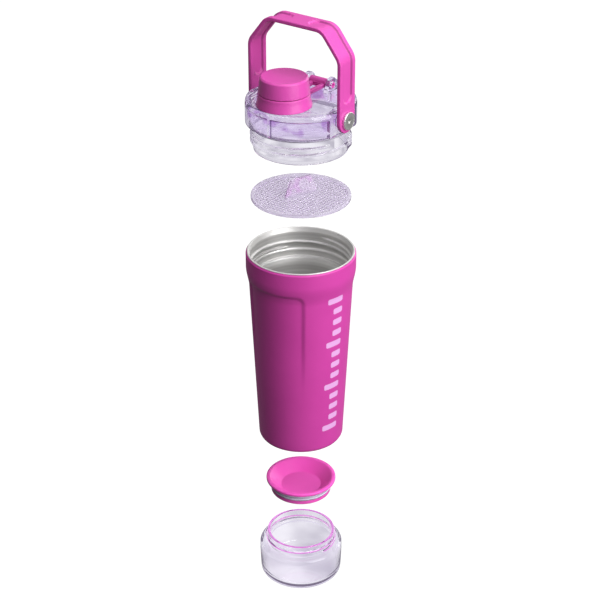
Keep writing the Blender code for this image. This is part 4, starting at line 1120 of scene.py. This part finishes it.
hiddenLook = {
    "roughness": 0.3,
    "nylon": {**mattLook, "deep": (0.66, 0.65, 0.63), "bright": (0.74, 0.73, 0.71), "grain": 1200.0},
    "seal": {**mattLook, "deep": (0.52, 0.49, 0.55), "bright": (0.6, 0.57, 0.63)},
}
steelSheet = steelFinish("sheetSteel", (0, 0, 0), 2, hiddenLook["roughness"])
insertMetal = steelFinish("machinedInsert", pivotPlace, 0, hiddenLook["roughness"])
nylon = mattFinish("naturalNylon", hiddenLook["nylon"])
capSeal = mattFinish("capSealSilicone", hiddenLook["seal"])
keptNodes = {
    "base_plate": steelSheet, "vacuum_getter": steelSheet, "base_socket": pinkPlastic,
    "pivot_bush_right": nylon, "pivot_bush_left": nylon,
    "screw_insert_right": insertMetal, "screw_insert_left": insertMetal, "spout_cap_gasket": capSeal,
}
for node, material in keptNodes.items():
    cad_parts[node].data.materials.clear()
    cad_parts[node].data.materials.append(material)
print("hidden pieces done")


studio = {
    "floorRadius": 14, "floorDrop": 0.0005, "paper": (0.04, 0.04, 0.04), "paperShade": 0.99,
    "paperGrain": 30.0, "paperRoughness": 0.9, "floorGlow": (1.0, 1.0, 1.0),
    "floorShine": (0.14, 0.14, 0.14), "throughDark": (0.44, 0.43, 0.49),
    "throughPale": (0.84, 0.835, 0.87), "patchScale": 17.0, "patchFrom": 0.36, "patchSoft": 0.28,
    "air": (0.08, 0.075, 0.085), "gleamLow": (0.08, 0.08, 0.08), "gleamHigh": (1.0, 1.0, 1.0),
    "seenLow": (0.62, 0.58, 0.72), "seenHigh": (0.98, 0.98, 1.0), "target": (0, 0, 0.27),
}
lights = {
    "sideSoftbox": {"azimuth": -7, "elevation": 27, "distance": 1.6, "size": (1.3, 1.7), "power": 35},
    "topSoftbox": {"azimuth": 0, "elevation": 80, "distance": 1.5, "size": (1.8, 1.8), "power": 20},
    "rearSoftbox": {"azimuth": 86, "elevation": 16, "distance": 1.8, "size": (1.2, 1.4), "power": 11},
}
viewpoint = {
    "place": (0.7653, -1.0533, 0.9911), "turn": (61.6, 0.0, 36.0), "lens": 102.08, "sensor": 36,
    "shift": -1 / 600,
}


def makeFloor():
    # White to look at, dim in reflections, and grey in patches when seen through the clear plastic.
    shape = bmesh.new()
    bmesh.ops.create_circle(shape, cap_ends=True, radius=studio["floorRadius"], segments=96)
    floor = looseObject("studioFloor", shape)
    floor.location.z = -studio["floorDrop"]
    finish = Finish("palePaper")
    spot = finish.place()
    grain = finish.noise(spot, studio["paperGrain"])
    patches = finish.noise(spot, studio["patchScale"]).ramp(studio["patchFrom"], studio["patchSoft"])
    shiny, through = finish.rays("Is Glossy Ray", "Is Transmission Ray")
    glow = finish.mixColours(shiny * (1 - through), studio["floorGlow"], studio["floorShine"])
    seen = finish.mixColours(patches, studio["throughDark"], studio["throughPale"])
    glow = finish.mixColours(through, glow, seen)
    shaded = toned(studio["paper"], studio["paperShade"])
    finish.feed(finish.shader, {
        "Base Color": finish.mixColours(grain, shaded, studio["paper"]),
        "Roughness": studio["paperRoughness"],
        "Emission Color": glow,
        "Emission Strength": 1.0,
    })
    floor.data.materials.append(finish.material)
    floor.visible_diffuse = False


def makeLight(name, azimuth, elevation, distance, size, power):
    # An area light that looks at the middle of the bottle. Azimuth 0 is on the +X side.
    azimuth, elevation = math.radians(azimuth), math.radians(elevation)
    flat = math.cos(elevation) * distance
    offset = Vector((flat * math.cos(azimuth), flat * math.sin(azimuth), math.sin(elevation) * distance))
    data = bpy.data.lights.new(name, "AREA")
    data.shape = "RECTANGLE"
    data.size, data.size_y = size
    data.energy = power
    light = bpy.data.objects.new(name, data)
    light.location = Vector(studio["target"]) + offset
    light.rotation_euler = (-offset).to_track_quat("-Z", "Y").to_euler()
    light.visible_transmission = False
    bpy.context.scene.collection.objects.link(light)


def makeAir():
    # Dim for matt surfaces, brighter upwards for shiny ones and for what is seen through the clear plastic.
    world = bpy.data.worlds.new("studioAir")
    world.use_nodes = True
    nodes = Nodes(world.node_tree)
    matt, through, direct = nodes.rays("Is Diffuse Ray", "Is Transmission Ray", "Is Camera Ray")
    height = nodes.axes(nodes.spot("Generated"))[2]
    shine = nodes.mixColours(height, studio["gleamLow"], studio["gleamHigh"])
    seen = nodes.mixColours(height, studio["seenLow"], studio["seenHigh"])
    colour = nodes.mixColours(through, nodes.mixColours(matt, shine, studio["air"]), seen)
    colour = nodes.mixColours(direct, colour, studio["seenHigh"])
    nodes.feed(nodes.tree.nodes["Background"], {"Color": colour})
    bpy.context.scene.world = world


def makeCamera():
    data = bpy.data.cameras.new("studioCamera")
    data.lens = viewpoint["lens"]
    data.sensor_width = viewpoint["sensor"]
    data.shift_x = viewpoint["shift"]
    camera = bpy.data.objects.new("studioCamera", data)
    camera.location = viewpoint["place"]
    camera.rotation_euler = [math.radians(value) for value in viewpoint["turn"]]
    bpy.context.scene.collection.objects.link(camera)
    bpy.context.scene.camera = camera


makeFloor()
for name, settings in lights.items():
    makeLight(name, **settings)
makeAir()
makeCamera()
bpy.context.scene.view_settings.view_transform = "Standard"
print("stage done")
